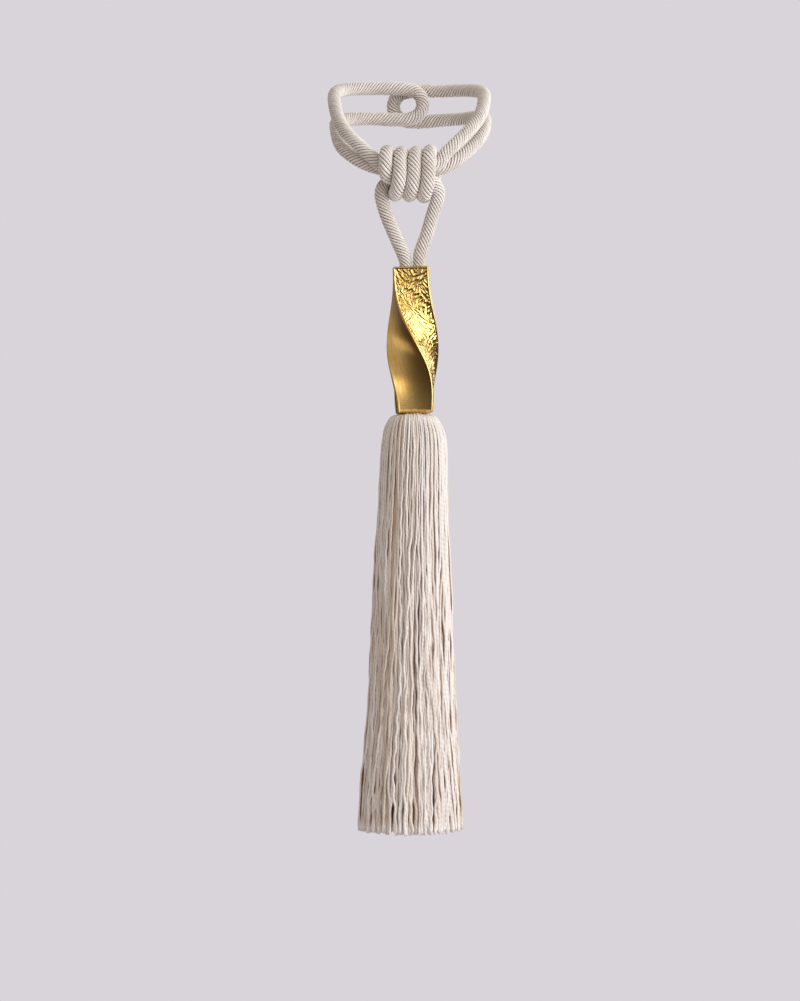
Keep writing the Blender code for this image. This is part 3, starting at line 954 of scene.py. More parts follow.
@dataclass(frozen=True)
class ChiselMarks:
    """A face struck all over with a small chisel, whose slant swings from patch to patch."""

    half: Pair = (2.4, 0.66)        # a mark's half length and half width
    pitch: Pair = (1.25, 2.7)       # from mark to mark, across the face and down it
    cells: tuple[int, int] = (40, 64)   # marks across and down, more than a face holds
    stray: float = 0.42             # how far a mark strays from its place, in pitches
    slant: float = 0.22             # how much its slant strays, in radians
    weight: Pair = (0.75, 1.25)     # makes a mark larger or smaller
    swing: float = 0.72             # the slant that most marks of a patch have
    swing_sharp: float = 3.0        # how suddenly one patch gives way to the next
    patch: Pair = (3.4, 6.0)        # millimetres for one radian of the patches' waves
    patch_bend: float = 1.8         # how much the patches wind
    near: int = 2                   # a point looks at the marks this many cells around it

    def depth(self, u: Array, v: Array, seed: int) -> Array:
        """Depth below the ridges between the marks.

        Each mark is a long shallow scoop, q = (a / half length)^2 + (b / half width)^2 along and
        across its own slant, and the depth is largest where the least q of all marks is 0.

        Args:
            u: millimetres across the face.
            v: millimetres down it.
            seed: for the marks' places and slants.

        Returns:
            The depth, 0 to 1.
        """
        dice = np.random.default_rng(seed)
        shift = dice.uniform(-self.stray, self.stray, (*self.cells, 2))
        slant = dice.normal(0.0, self.slant, self.cells)
        weight = dice.uniform(*self.weight, self.cells)
        (across_by, down_by), (columns, rows) = self.pitch, self.cells
        first_u, first_v = 0.5 * columns, 0.5 * rows
        cell_u = np.floor(u / across_by + first_u).astype(int)
        cell_v = np.floor(v / down_by + first_v).astype(int)
        least = np.ones(u.shape)
        around = range(-self.near, self.near + 1)
        for beside in around:
            for beyond in around:
                i = np.clip(cell_u + beside, 0, columns - 1)
                j = np.clip(cell_v + beyond, 0, rows - 1)
                mark_u = (i + 0.5 + shift[i, j, 0] - first_u) * across_by
                mark_v = (j + 0.5 + shift[i, j, 1] - first_v) * down_by
                wave = np.sin(mark_u / self.patch[0]
                              + self.patch_bend * np.sin(mark_v / self.patch[1]) + seed)
                lean = self.swing * np.tanh(self.swing_sharp * wave) + slant[i, j]
                c, s = np.cos(lean), np.sin(lean)
                along = (v - mark_v) * c + (u - mark_u) * s
                aside = (u - mark_u) * c - (v - mark_v) * s
                q = (along / self.half[0]) ** 2 + (aside / self.half[1]) ** 2
                least = np.minimum(least, weight[i, j] * q)
        return 1.0 - least


@dataclass
class TwistedHead:
    """The square bar, twisted a little over a quarter turn, with its faces finished by turns."""

    long: float = 84.4
    side: float = 20.9              # across the faces, above
    bulge: tuple[float, float, float] = (2.6, 0.72, 0.22)   # how much wider, where, how long
    taper: float = 0.9              # and how much narrower at the foot
    chamfer: float = 0.8
    twist: Pair = (90.0, 0.98)      # degrees, and the share of the head that they take
    over: float = 3.0               # further degrees, most of them near the foot
    lean: float = 1.4               # degrees, the foot to the right
    middle_x: float = 2.3
    faces: tuple[Face, ...] = (Face.HAMMERED, Face.SATIN, Face.HAMMERED, Face.SATIN)
    columns: tuple[int, int] = (80, 26)     # across a hammered face and a satin one
    row: float = 0.27
    close: float = 0.985            # a column this near a face's edge, at 1, keeps it crisp
    border: float = 0.1             # flat strip along each edge of a face, millimetres
    rim: float = 0.6                # and from there in to the face's full depth
    struck_to: float = 0.95         # the chiselled finish ends here, beside the edge at 1,
    struck_rows: tuple[int, int] = (3, 4)   # and this many rows from the foot and the top
    sunk: float = 0.14              # the faces lie this much below their rims
    scoop: float = 0.9              # and a satin face is hollowed by this much more
    marks: ChiselMarks = field(default_factory=ChiselMarks)
    mark_depth: float = 0.29
    end_border: float = 0.15        # flat strip on both ends, in from the chamfer
    hole_edge: float = 0.4          # how much both holes' edges are broken
    socket: Pair = (3.77, 0.5)      # radius of its ends, and its floor's last ring as a share
    recess: Pair = (7.5, 0.3)       # the same of the round hole for the skirt's root
    recess_x: float = 2.6
    recess_deep: float = 8.0

    def side_at(self, down: Array) -> Array:
        """Width across the faces: side + more x exp(-((d - middle) / share)^2) - taper x d^8."""
        more, middle, share = self.bulge
        return self.side + more * np.exp(-((down - middle) / share) ** 2) - self.taper * down ** 8

    def turn_at(self, down: Array) -> Array:
        """The twist: 6t^5 - 15t^4 + 10t^3 of a quarter turn, and a little more as d^3.

        Args:
            down: d, the share of the head's length from its top; t is d over the twist's share.

        Returns:
            Radians.
        """
        t = np.minimum(down / self.twist[1], 1.0)
        quarter = self.twist[0] * t ** 3 * (10.0 - 15.0 * t + 6.0 * t * t)
        return np.radians(quarter + self.over * down ** 3)

    def outline(self) -> tuple[Array, Array]:
        """Columns round the bar, counted to the left as seen from above.

        Returns:
            For each column the number of its face, and its place across it from -1 to 1.
        """
        number, share = [], []
        for k, kind in enumerate(self.faces):
            w = np.linspace(-1.0, 1.0, self.columns[kind.value])
            share.append(np.concatenate([[-1.0, -self.close], w[1:-1], [self.close, 1.0]]))
            number.append(np.full(len(share[-1]), k))
        return np.concatenate(number), np.concatenate(share)

    def bar(self, number: Array, across: Array, out: Array, z: Array) -> Array:
        """Points on the bar as twisted, leaned and put in place.

        Args:
            number: each column's face; face k is turned by k quarters and the twist.
            across: millimetres from the face's middle line.
            out: millimetres from the bar's middle.
            z: levels from the bar's middle.

        Returns:
            The points, from the knot's middle.
        """
        turn = self.turn_at(np.clip(0.5 - z / self.long, 0.0, 1.0)) + 0.25 * TURN * number
        c, s = np.cos(turn), np.sin(turn)
        x, y = across * c + out * s, across * s - out * c
        c, s = math.cos(math.radians(self.lean)), math.sin(math.radians(self.lean))
        return np.stack([x * c - z * s + self.middle_x, y,
                         z * c + x * s + HEAD_TOP - 0.5 * self.long], axis=-1)

    def wall(self) -> Array:
        """The four faces, from the foot's edge up to the top's edge.

        On face k at share w the bar's point is (w (side / 2 - chamfer), -side / 2 + depth),
        turned. The depth is 0 along the rims. Inside them it is sunk + mark depth x marks on a
        hammered face, and sunk + scoop x (1 - w^2), a shallow hollow, on a satin one.

        Returns:
            rings x columns x 3.
        """
        number, w = self.outline()
        edge = 0.5 * self.long - self.chamfer
        z = np.arange(-edge, edge, self.row)
        z = np.concatenate([[-edge, -edge + self.border], z[2:-1],
                            [edge - self.border, edge]])[:, None]
        half = 0.5 * self.side_at(0.5 - z / self.long)
        across = w[None, :] * (half - self.chamfer)
        inner = smooth_step((half - self.chamfer - np.abs(across) - self.border) / self.rim)
        inner = inner * smooth_step((edge - np.abs(z) - self.border) / self.rim)
        relief = self.scoop * np.broadcast_to(1.0 - w ** 2, across.shape).copy()
        for k, kind in enumerate(self.faces):
            if kind is Face.HAMMERED:
                on = number == k
                relief[:, on] = self.mark_depth * self.marks.depth(across[:, on], -z, 3 + k)
        return self.bar(number[None, :], across, half - inner * (self.sunk + relief), z)

    def end_ring(self, z: float, inset: float) -> Array:
        """A ring of the bar's outline, drawn in on every side.

        Args:
            z: its level, from the bar's middle.
            inset: how far it is drawn in.

        Returns:
            columns x 3.
        """
        number, w = self.outline()
        half = 0.5 * self.side_at(0.5 - z / self.long) - inset
        return self.bar(number, w * half, half, np.full(len(w), z))

    def round_ring(self, like: Array, level: float, radius: float, straight: float,
                   middle: Pair) -> Array:
        """A ring of a long hole with round ends, each point on the ray of the ring it follows.

        On the flat sides the ray meets y = radius, and on a round end it meets the circle about
        the end of the straight part.

        Args:
            like: the ring that it joins.
            level: its level.
            radius: of its ends.
            straight: half the length between the ends' middles, 0 for a circle.
            middle: the hole's middle, X and Y.

        Returns:
            columns x 3.
        """
        a = np.arctan2(like[:, 1] - middle[1], like[:, 0] - middle[0])
        c, s = np.cos(a), np.sin(a)
        to_flat = radius / np.maximum(np.abs(s), 1e-9)
        to_end = straight * np.abs(c) + np.sqrt(
            np.maximum(radius ** 2 - (straight * s) ** 2, 0.0))
        reach = np.where(np.abs(c) * to_flat > straight, to_end, to_flat)
        return np.stack([middle[0] + reach * c, middle[1] + reach * s,
                         np.full(len(a), level)], axis=-1)

    def hole(self, like: Array, mouth: float, floor: float, size: Pair, straight: float,
             middle: Pair) -> list[Array]:
        """The rings of a hole with broken edges, from its mouth to its floor.

        Args:
            like: the ring that it joins.
            mouth: level of its mouth.
            floor: level of its floor.
            size: radius of its ends, and the last ring's radius as a share of it.
            straight: half the length between its ends' middles, 0 for a round hole.
            middle: its middle, X and Y.

        Returns:
            Its rings.
        """
        (radius, last), edge = size, self.hole_edge
        inward = math.copysign(edge, floor - mouth)
        steps = ((mouth, radius + edge), (mouth + inward, radius), (floor - inward, radius),
                 (floor, radius - edge), (floor, last * radius))
        return [self.round_ring(like, level, r, straight, middle) for level, r in steps]

    def build(self, hammered: bpy.types.Material, satin: bpy.types.Material) -> bpy.types.Object:
        """Builds the head as one closed surface, from the recess up and into the socket.

        Args:
            hammered: finish of the chiselled faces.
            satin: finish of everything else.

        Returns:
            The piece.
        """
        edge, foot_level = 0.5 * self.long, HEAD_TOP - self.long
        foot, top = self.end_ring(-edge, self.chamfer), self.end_ring(edge, self.chamfer)
        recess = self.hole(foot, foot_level, foot_level + self.recess_deep, self.recess,
                           0.0, (self.recess_x, 0.0))[::-1]
        socket = self.hole(top, HEAD_TOP, HEAD_TOP - SOCKET_DEEP, self.socket,
                           0.5 * (LEG_X[1] - LEG_X[0]), (0.5 * (LEG_X[0] + LEG_X[1]), 0.0))
        wall = list(self.wall())
        inset = self.chamfer + self.end_border
        rings = np.stack(recess + [self.end_ring(-edge, inset), foot] + wall
                         + [top, self.end_ring(edge, inset)] + socket)
        steps = np.linalg.norm(np.diff(rings[:, 0], axis=0), axis=1)
        along = np.concatenate([[0.0], np.cumsum(steps)])
        obj = ring_mesh("twisted_gold_head", rings[None], along[None], float(len(self.faces)))
        dress(obj, "tassel_head", Slot.GOLD, satin, hammered)

        # the chiselled finish keeps off each face's rim, by columns and then by rows
        number, w = self.outline()
        struck = np.array([self.faces[k] is Face.HAMMERED for k in number])
        struck = struck & (np.abs(w) < self.struck_to) & np.roll(struck, -1)
        row = np.arange(len(rings) - 1) - len(recess) - 2
        low, high = self.struck_rows
        on_wall = (row >= low) & (row < len(wall) - high)
        choice = np.zeros(len(obj.data.polygons), np.int32)
        choice[:len(row) * len(w)] = (on_wall[:, None] & struck[None, :]).ravel()
        obj.data.polygons.foreach_set("material_index", choice)
        LOG.info("%s: %d rings of %d points", obj.name, len(rings), len(w))
        return obj


# ---------------------------------------------------------------- skirt


@dataclass(frozen=True)
class YarnRing:
    """One ring of yarns. What isn't said is as in the innermost rings, which hardly show."""

    count: int
    share: float = 1.0              # of the skirt's radius
    inset: Pair = (1.0, 1.0)        # millimetres inside that, above and below
    start: float = 0.09             # share of the profile where the yarns begin
    rows: int = 30
    sides: int = 6
    cover: float = 1.2              # a yarn's width as a share of its room in the ring
    widest: float = 2.8             # and at most, millimetres
    painted_shade: float = 0.6              # painted shade: 0 for yarns in the light, 1 for hidden ones, which are painted darkest
    shift: float = 0.0              # turns the ring by this share of a yarn's room


@dataclass
class Chance:
    """Seeded draws for the yarns of one ring, one value for each yarn."""

    dice: np.random.Generator
    count: int

    def each(self, low: float, high: float) -> Array:
        """Values between two limits, yarns x 1."""
        return self.dice.uniform(low, high, (self.count, 1))

    def some(self, share: float) -> Array:
        """True for about this share of the yarns."""
        return self.each(0.0, 1.0) < share

    def wave(self, z: Array, lengths: Pair) -> Array:
        """Each yarn's own wave along it: sin(turn x level / length + phase)."""
        return np.sin(TURN * z / self.each(*lengths) + self.each(0.0, TURN))


@dataclass
class YarnSkirt:
    """The tassel's skirt: rings of yarns over a rounded shoulder, cut level at the foot.

    A pair that ends in _from is a level and the millimetres below it over which a thing grows,
    unless its comment says otherwise.
    """

    foot: float = -380.0
    root_foot: float = -156.5       # where the bound root ends and the yarns hang free
    fine: int = 800                 # points of the profile that the rings are picked from
    uneven: float = 1.6             # how much the yarns' ends differ in level
    plump: float = 0.86             # half a yarn's thickness, from front to back
    flat: Pair = (1.0, 0.86)        # depth over width, at the root and at the foot
    narrowing_from: Pair = (-170.0, 130.0)  # where a ring goes from its first inset to its second
    scatter: float = 0.18           # of a yarn's room, how far it is off its even place
    loose_from: tuple[Pair, Pair] = ((-160.0, 130.0), (-142.0, 22.0))   # half the waves each

    gather: Pair = (0.65, 0.55)     # how far neighbours stray together, sideways and outwards
    gather_side: tuple[Pair, ...] = ((9, 230.0), (14, -170.0), (22, 120.0), (31, -90.0))
    gather_out: tuple[Pair, ...] = ((7, 190.0), (17, -130.0), (26, 80.0))
    long_wave: tuple[Pair, Pair] = ((0.1, 0.40), (26.0, 60.0))  # a yarn's own: reach, length
    short_wave: tuple[Pair, Pair] = ((0.1, 0.42), (10.0, 20.0))
    out_wave: tuple[float, Pair] = (0.22, (16.0, 34.0))
    sunk: tuple[Pair, Pair] = ((0.4, 0.85), (0.0, 0.3))     # every second yarn, and the others
    sunk_from: Pair = (-139.5, 7.0)
    sunk_less: float = 0.45         # how much less of it is left at the foot
    crossing: float = 0.36          # the share of yarns that drift across their neighbours
    cross: Pair = (2.6, 0.6)        # by how much, and how far they lie outside meanwhile
    cross_start: Pair = (-330.0, -190.0)
    cross_over: Pair = (50.0, 90.0)
    lift_over: Pair = (12.0, 24.0)  # they are lifted from this far above, over this much
    fanning: float = 0.42           # the share of yarns that lean out to the sides
    fan: tuple[Pair, float] = ((2.5, 5.5), 0.5)     # by how much, and how far outside
    fan_from: Pair = (-325.0, 60.0)
    fan_lift_from: Pair = (-315.0, 24.0)

    head_half: float = 10.45        # half the head's width at its foot
    top_rise: Pair = (0.4, 2.2)     # how far yarns bulge up in front of the head's edge
    top_past: Pair = (0.7, 1.3)     # from this far outside that edge, over this much
    top_until: Pair = (2.0, 4.0)    # and gone again from here
    top_facing: Pair = (0.72, 0.2)  # only where |sin angle| is more than this, to front and back
    swell: tuple[float, Pair] = (0.06, (7.0, 15.0))     # a yarn's thick and thin places
    width: Pair = (0.84, 1.14)      # how much the yarns differ in width
    cover_more: float = 0.35        # how much closer they lie on the shoulder
    cover_from: Pair = (-140.0, 8.0)
    slim: float = 1.5               # a yarn is at most this much deeper than wide
    tip: Pair = (1.04, 0.72)        # width of the last two sections, a cut yarn's brush
    ragged: float = 0.5             # how uneven one yarn's cut is
    ends_from: Pair = (0.9, 0.1)    # share of the way down where the ends begin to differ
    least: Pair = (0.8, 0.6)        # least radius of a yarn's middle, in its ring and astray
    turn_radius: float = 6.0        # inner yarns stray by the angle that they would here
    lay: float = 9.0                # how much the yarns' plies differ in place along them
    seed: int = 20

    warm_few: float = 2.4           # the higher, the fewer yarns are warm
    back_shade_from: Pair = (0.5, 0.8)    # the cosine from which a yarn's back gets painted shade, and over what
    pale_tip: Pair = (0.5, 0.75)    # how much less warm the cut tips are, and how much less painted shade they have
    pale_from: tuple[Pair, Pair] = ((0.97, 0.03), (0.96, 0.03))     # from this share down

    def table(self) -> list[Point]:
        """The skirt's own profile, down its shoulder and its side.

        Returns:
            Radius of the outer yarns' middle, level, and the skirt's middle in X, row by row.
        """
        return [
            (4.6, -133.0, 2.6), (6.0, -137.0, 2.6), (7.6, -139.6, 2.6), (9.8, -140.1, 2.6),
            (12.0, -140.7, 2.7), (14.2, -142.8, 2.9), (16.9, -148.0, 3.2),
            (18.5, -156.5, 3.3), (19.1, -166.5, 3.1), (19.7, -190.0, 2.7), (21.0, -220.0, 2.2),
            (22.0, -252.0, 2.2), (24.2, -303.0, 1.8), (27.1, -343.0, 1.1), (28.3, -362.0, 0.9),
            (29.1, self.foot, 0.8),
        ]

    def rings(self) -> dict[str, list[YarnRing]]:
        """The skirt's rings of yarns.

        Returns:
            The rings of each piece, from the outside in.
        """
        hidden = [YarnRing(46, 0.84, (2.0, 2.0)), YarnRing(38, 0.68, (2.0, 2.0)),
                  YarnRing(28, 0.49), YarnRing(18, 0.33), YarnRing(8, 0.16)]
        return {
            "skirt_outer_yarns": [YarnRing(86, 1.0, (0.0, 0.0), 0.0, 118, 9, 0.95, 1.68, 0.0)],
            "skirt_second_yarns": [
                YarnRing(86, 1.0, (1.2, 0.15), 0.045, 108, 8, 1.0, 1.72, 0.14, shift=0.5)],
            "skirt_inner_yarns": [
                YarnRing(80, 1.0, (2.1, 0.6), 0.06, 88, 7, 1.15, 2.3, 0.25),
                YarnRing(54, 0.98, (4.0, 1.9), 0.08, 40, 6, 1.3, 3.4, 0.5)] + hidden,
        }

    def profile(self, ring: YarnRing) -> tuple[Array, Array, Array]:
        """The line that a ring's yarns follow: the skirt's own, moved in square to itself.

        Args:
            ring: it says how far in.

        Returns:
            Radius, level and the middle's X at each row.
        """
        line = evenly(smooth_line(self.table(), fine=12), count=self.fine)
        last = self.fine - 1
        pick = np.linspace(int(ring.start * last), last, ring.rows)
        line = np.stack([np.interp(pick, np.arange(self.fine), line[:, k]) for k in range(3)], -1)
        slope = unit(np.gradient(line[:, :2], axis=0))
        high, low = ring.inset
        inset = high + (low - high) * below(line[:, 1], *self.narrowing_from)
        r = np.maximum(line[:, 0] * ring.share + slope[:, 1] * inset, self.least[0])
        return r, line[:, 1] - slope[:, 0] * inset, line[:, 2]

    def stray(self, chance: Chance, phi: Array, z: Array, reach: Array) -> tuple[Array, Array]:
        """How far the yarns stray from hanging straight.

        Neighbours share a field of waves, so that they gather and part, and each yarn adds
        smaller waves of its own, all growing from the shoulder to the foot. Every second yarn
        lies deeper, so that neighbours don't run into each other. Some drift across their
        neighbours, and near the foot some fan out to the sides; both lie outside the others
        while they do.

        Args:
            chance: the ring's draws.
            phi: the yarns' angles.
            z: levels.
            reach: the share of the way from the root to the foot.

        Returns:
            Millimetres sideways and outwards.
        """
        loose = sum(0.5 * below(z, *pair) for pair in self.loose_from)
        side = loose * (self.gather[0] * waves(chance.dice, self.gather_side, phi, z)
                        + chance.each(*self.long_wave[0]) * chance.wave(z, self.long_wave[1])
                        + chance.each(*self.short_wave[0]) * chance.wave(z, self.short_wave[1]))
        out = loose * (self.gather[1] * waves(chance.dice, self.gather_out, phi, z)
                       + self.out_wave[0] * chance.wave(z, self.out_wave[1]))
        second = np.arange(chance.count)[:, None] % 2 == 1
        sunk = np.where(second, chance.each(*self.sunk[0]), chance.each(*self.sunk[1]))
        out = out - sunk * below(z, *self.sunk_from) * (1.0 - self.sunk_less * reach)

        crosses = chance.some(self.crossing) * chance.dice.choice([-1.0, 1.0], (chance.count, 1))
        start = chance.each(*self.cross_start)
        side = side + crosses * self.cross[0] * below(z, start, chance.each(*self.cross_over))
        lifted = below(z, start + self.lift_over[0], self.lift_over[1])
        out = out + np.abs(crosses) * self.cross[1] * lifted

        fans = chance.some(self.fanning)
        leaning = chance.each(*self.fan[0]) * below(z, *self.fan_from)
        side = side + fans * leaning * np.cos(phi)
        out = out + fans * self.fan[1] * np.abs(np.sin(phi)) * below(z, *self.fan_lift_from)
        return side, out

    def bulging(self, r: Array, angle: Array) -> Array:
        """Where the yarns' tops bulge up: in front of and behind the head, just past its edge.

        The edge of the square head is at half its width / max(|cos|, |sin|).

        Args:
            r: radius of the yarns' middles.
            angle: their angles.

        Returns:
            0 to 1.
        """
        past = r - self.head_half / np.maximum(np.abs(np.cos(angle)), np.abs(np.sin(angle)))
        facing = above(np.abs(np.sin(angle)), *self.top_facing)
        return above(past, *self.top_past) * facing * (1.0 - above(past, *self.top_until))

    def round_yarn(self, ring: YarnRing) -> Array:
        """Angles round one yarn, from its back, which faces the skirt's middle."""
        return TURN * np.arange(ring.sides) / ring.sides + math.pi

    def sections(self, ring: YarnRing, chance: Chance, middle: Array, angle: Array,
                 room: Array) -> Array:
        """Ovals square to the yarns: thick x cos outwards and wide x sin sideways.

        Args:
            ring: the ring.
            chance: its draws.
            middle: the yarns' middle lines, yarns x rows x 3.
            angle: their angles.
            room: each yarn's room in the ring.

        Returns:
            yarns x rows x sides x 3.
        """
        z = middle[..., 2]
        round_way = np.stack([-np.sin(angle), np.cos(angle), np.zeros_like(angle)], axis=-1)
        along = unit(np.gradient(middle, axis=1))
        outward = unit(np.cross(along, round_way))
        across = np.cross(along, outward)
        swell = 1.0 + self.swell[0] * chance.wave(z, self.swell[1])
        cover = ring.cover + self.cover_more * (1.0 - below(z, *self.cover_from))
        wide = 0.5 * np.minimum(room * cover, ring.widest) * swell * chance.each(*self.width)
        thick = np.minimum(self.plump, self.slim * wide) * swell
        for size in (wide, thick):
            size[:, -2:] *= self.tip
        theta = self.round_yarn(ring)
        points = (middle[:, :, None, :]
                  + (thick[..., None] * np.cos(theta))[..., None] * outward[:, :, None, :]
                  + (wide[..., None] * np.sin(theta))[..., None] * across[:, :, None, :])
        points[:, -1, :, 2] += chance.dice.uniform(-self.ragged, self.ragged,
                                                   (chance.count, ring.sides))
        return points

    def tones(self, ring: YarnRing, chance: Chance, reach: Array) -> tuple[Array, Array]:
        """The values that the yarn's finish reads; both are paler at the cut tips.

        Args:
            ring: the ring.
            chance: its draws.
            reach: the share of the way from the root to the foot.

        Returns:
            Warmth of each yarn, few of them very warm, and each point's painted shade: the ring's
            own value in front, growing to 1 towards the yarn's back.
        """
        (less_warm, less_shade), (warm_from, less_shade_from) = self.pale_tip, self.pale_from
        warmth = chance.each(0.0, 1.0) ** self.warm_few - less_warm * above(reach, *warm_from)
        # painted shade grows towards each yarn's back, which faces the skirt's middle, and is less
        # at the cut tips
        behind = below(np.cos(self.round_yarn(ring)), *self.back_shade_from)
        paler = 1.0 - less_shade * above(reach, *less_shade_from)
        return warmth[..., None], (ring.painted_shade + (1.0 - ring.painted_shade) * behind) * paler[..., None]

    def yarns(self, ring: YarnRing, dice: np.random.Generator) -> tuple[Array, ...]:
        """The yarns of one ring, each along the skirt's profile at its own angle, and astray.

        Args:
            ring: what to build.
            dice: for everything uneven.

        Returns:
            Points (yarns x rows x points round x 3), and the v value, the warmth and the painted
            shade that go with them.
        """
        chance = Chance(dice, ring.count)
        r, z, middle_x = (part[None, :] for part in self.profile(ring))
        even = np.arange(ring.count)[:, None] + ring.shift
        phi = TURN * (even + chance.each(-self.scatter, self.scatter)) / ring.count
        ends = chance.each(0.0, self.uneven)
        reach = np.clip((self.root_foot - z) / (self.root_foot - self.foot), 0.0, 1.0)
        z = z + ends * above(reach, *self.ends_from)
        flat = self.flat[0] + (self.flat[1] - self.flat[0]) * reach
        side, out = self.stray(chance, phi, z, reach)
        angle = phi + side / np.maximum(r, self.turn_radius)
        z = z + chance.each(*self.top_rise) * self.bulging(r, angle)
        radius = np.maximum(r + out, self.least[1])
        middle = np.stack([middle_x + radius * np.cos(angle), flat * radius * np.sin(angle), z],
                          axis=-1)
        room = TURN * r * np.sqrt(0.5 * (1.0 + flat ** 2)) / ring.count
        points = self.sections(ring, chance, middle, angle, room)
        steps = np.linalg.norm(np.diff(middle, axis=1), axis=2)
        v = np.concatenate([np.zeros((ring.count, 1)), np.cumsum(steps, axis=1)], axis=1)
        v = v + chance.each(0.0, self.lay)
        return points, v, *self.tones(ring, chance, reach)

    def build(self, finish: bpy.types.Material) -> list[bpy.types.Object]:
        """Builds and dresses the skirt's pieces.

        Args:
            finish: the yarn's material.

        Returns:
            The pieces, from the outside in.
        """
        dice = np.random.default_rng(self.seed)
        made = []
        for name, rings in self.rings().items():
            parts = []
            for ring in rings:
                points, v, tone, painted_shade = self.yarns(ring, dice)
                parts.append(ring_mesh(f"{name}_{len(parts)}", points, v, 1.0,
                                       {"tone": tone, "painted_shade": painted_shade}))
            obj = parts[0]
            if len(parts) > 1:
                with bpy.context.temp_override(active_object=obj, object=obj,
                                               selected_objects=parts,
                                               selected_editable_objects=parts):
                    bpy.ops.object.join()
            obj.name = obj.data.name = name
            dress(obj, "tassel_skirt", Slot.YARN, finish)
            LOG.info("%s: %d yarns", name, sum(r.count for r in rings))
            made.append(obj)
        return made


# ---------------------------------------------------------------- studio


@dataclass(frozen=True)
class SoftLight:
    """One large soft lamp, aimed at the tassel."""

    name: str
    place: Point
    size: Pair
    watts: float
    colour: str


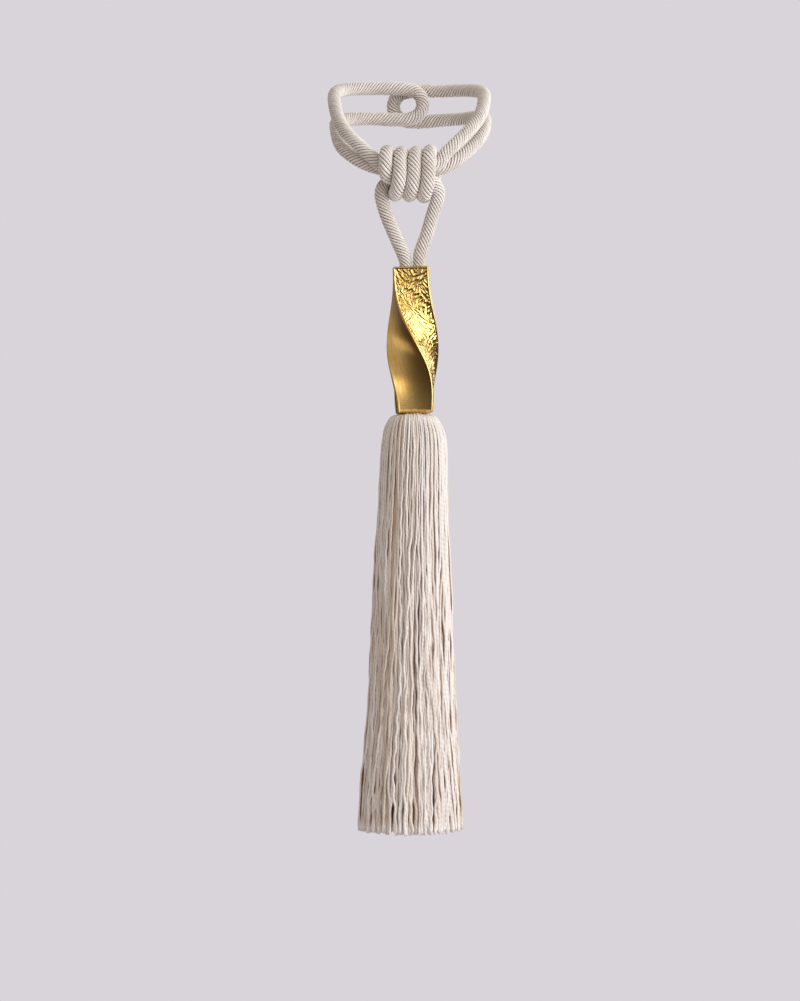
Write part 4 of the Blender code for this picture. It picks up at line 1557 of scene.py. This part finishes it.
@dataclass
class Studio:
    """A pale floor, soft light and the camera, in metres."""

    aim: Point = (0.0, -0.07, -0.20)
    eye: Point = (-0.00493, -1.4732, -0.2411)
    lens: float = 86.8
    sensor: float = 36.0            # its width; this and the lens are in millimetres
    clip: Pair = (0.01, 100.0)
    floor: float = -1.75
    floor_radius: float = 4.8
    floor_points: int = 96
    floor_roughness: float = 0.9
    floor_colour: str = "#E8E3E6"
    floor_patch: float = 0.03       # how much darker its faint patches are
    floor_patch_mm: float = 1250.0
    backdrop: str = "#D9D4DA"
    sky: str = "#C9C3BF"            # light from above
    low: str = "#453C36"            # and from below
    dusk: Pair = (-0.25, 0.7)       # heights of view between which the one turns to the other

    def lights(self) -> list[SoftLight]:
        """A window to the right, weak lamps by the camera and to the left, and one behind.

        Returns:
            The lamps.
        """
        return [
            SoftLight("window light", (2.0, -1.25, 0.15), (1.8, 2.3), 50.0, "#FAFBFF"),
            SoftLight("lamp by the camera", (0.45, -2.0, 0.25), (0.7, 0.7), 4.0, "#FFFBF5"),
            SoftLight("left fill", (-2.0, -0.6, 0.1), (1.0, 1.6), 2.2, "#FFE9D4"),
            SoftLight("back light", (1.5, 1.6, 0.6), (1.2, 1.2), 12.0, "#FFFFFF"),
        ]

    def camera(self) -> None:
        """Puts the camera level in front of the tassel."""
        data = bpy.data.cameras.new("camera")
        data.lens = self.lens
        data.sensor_width = self.sensor
        data.clip_start, data.clip_end = self.clip
        obj = bpy.data.objects.new("camera", data)
        obj.location = self.eye
        obj.rotation_euler = (math.radians(90.0), 0.0, 0.0)
        bpy.context.scene.collection.objects.link(obj)
        bpy.context.scene.camera = obj

    def ground(self) -> None:
        """A wide disc far below, like a studio floor: radius x (cos, sin) round its edge."""
        a = np.linspace(0.0, TURN, self.floor_points, endpoint=False)
        points = np.stack([self.floor_radius * np.cos(a), self.floor_radius * np.sin(a),
                           np.full(len(a), self.floor)], axis=-1)
        mesh = bpy.data.meshes.new("studio_floor")
        mesh.from_pydata(points.tolist(), [], [list(range(len(a)))])
        obj = bpy.data.objects.new("studio_floor", mesh)
        bpy.context.scene.collection.objects.link(obj)
        made, tree, shader = new_material("matt painted floor")
        place = add_node(tree, "ShaderNodeTexCoord").outputs["Object"]
        patch = add_node(tree, "ShaderNodeTexNoise",
                         {"Vector": place, "Scale": 1.0 / (self.floor_patch_mm * MM),
                          "Detail": 2.0})
        pale = to_linear(self.floor_colour)
        darker = (*[(1.0 - self.floor_patch) * c for c in pale[:3]], 1.0)
        colour = add_node(tree, "ShaderNodeMix", {SHARE: patch, FIRST: pale, SECOND: darker},
                          data_type="RGBA").outputs[MIXED]
        feed(shader, {"Base Color": colour, "Roughness": self.floor_roughness})
        mesh.materials.append(made)
        obj.visible_glossy = False      # the gold mirrors the darker room, not the floor

    def air(self) -> None:
        """A plain pale backdrop all round, and the soft light of a room, brightest above."""
        world = bpy.data.worlds.new("pale studio")
        bpy.context.scene.world = world
        world.use_nodes = True
        tree = world.node_tree
        way = add_node(tree, "ShaderNodeTexCoord").outputs["Generated"]
        height = add_node(tree, "ShaderNodeSeparateXYZ", (way,)).outputs["Z"]
        up = add_node(tree, "ShaderNodeMapRange", (height, *self.dusk, 0.0, 1.0),
                      interpolation_type="SMOOTHSTEP")
        room = add_node(tree, "ShaderNodeMix", {SHARE: up, FIRST: to_linear(self.low),
                                                SECOND: to_linear(self.sky)},
                        data_type="RGBA").outputs[MIXED]
        seen = add_node(tree, "ShaderNodeLightPath").outputs["Is Camera Ray"]
        shown = add_node(tree, "ShaderNodeMix", {SHARE: seen, FIRST: room,
                                                 SECOND: to_linear(self.backdrop)},
                         data_type="RGBA").outputs[MIXED]
        feed(tree.nodes["Background"], {"Color": shown})
        bpy.context.scene.view_settings.view_transform = "Standard"

    def lamps(self) -> None:
        """Hangs the soft lamps and aims each at the tassel."""
        for light in self.lights():
            data = bpy.data.lights.new(light.name, "AREA")
            data.shape = "RECTANGLE"
            data.size, data.size_y = light.size
            data.energy = light.watts
            data.color = to_linear(light.colour)[:3]
            obj = bpy.data.objects.new(light.name, data)
            obj.location = light.place
            toward = Vector(self.aim) - Vector(light.place)
            obj.rotation_euler = toward.to_track_quat("-Z", "Y").to_euler()
            bpy.context.scene.collection.objects.link(obj)

    def build(self) -> None:
        """Sets up the whole studio."""
        self.camera()
        self.ground()
        self.air()
        self.lamps()
        LOG.info("studio: %d lamps", len(self.lights()))


def main() -> None:
    """Builds the studio, then the tassel from its cords to its skirt, and reports each piece."""
    logging.basicConfig(level=logging.INFO, format="%(name)s: %(message)s")
    Studio().build()
    KnottedCords().build(TwistedCordFinish().make())
    TwistedHead().build(
        GiltFinish("polished gilt", "#F4D68C", "#DDB25C", (0.17, 0.26), 0.01).make(),
        GiltFinish("satin gilt", "#F0CF88", "#D8AB5C", (0.25, 0.32), 0.003).make())
    YarnSkirt().build(TasselYarnFinish().make())


if __name__ == "__main__":
    main()
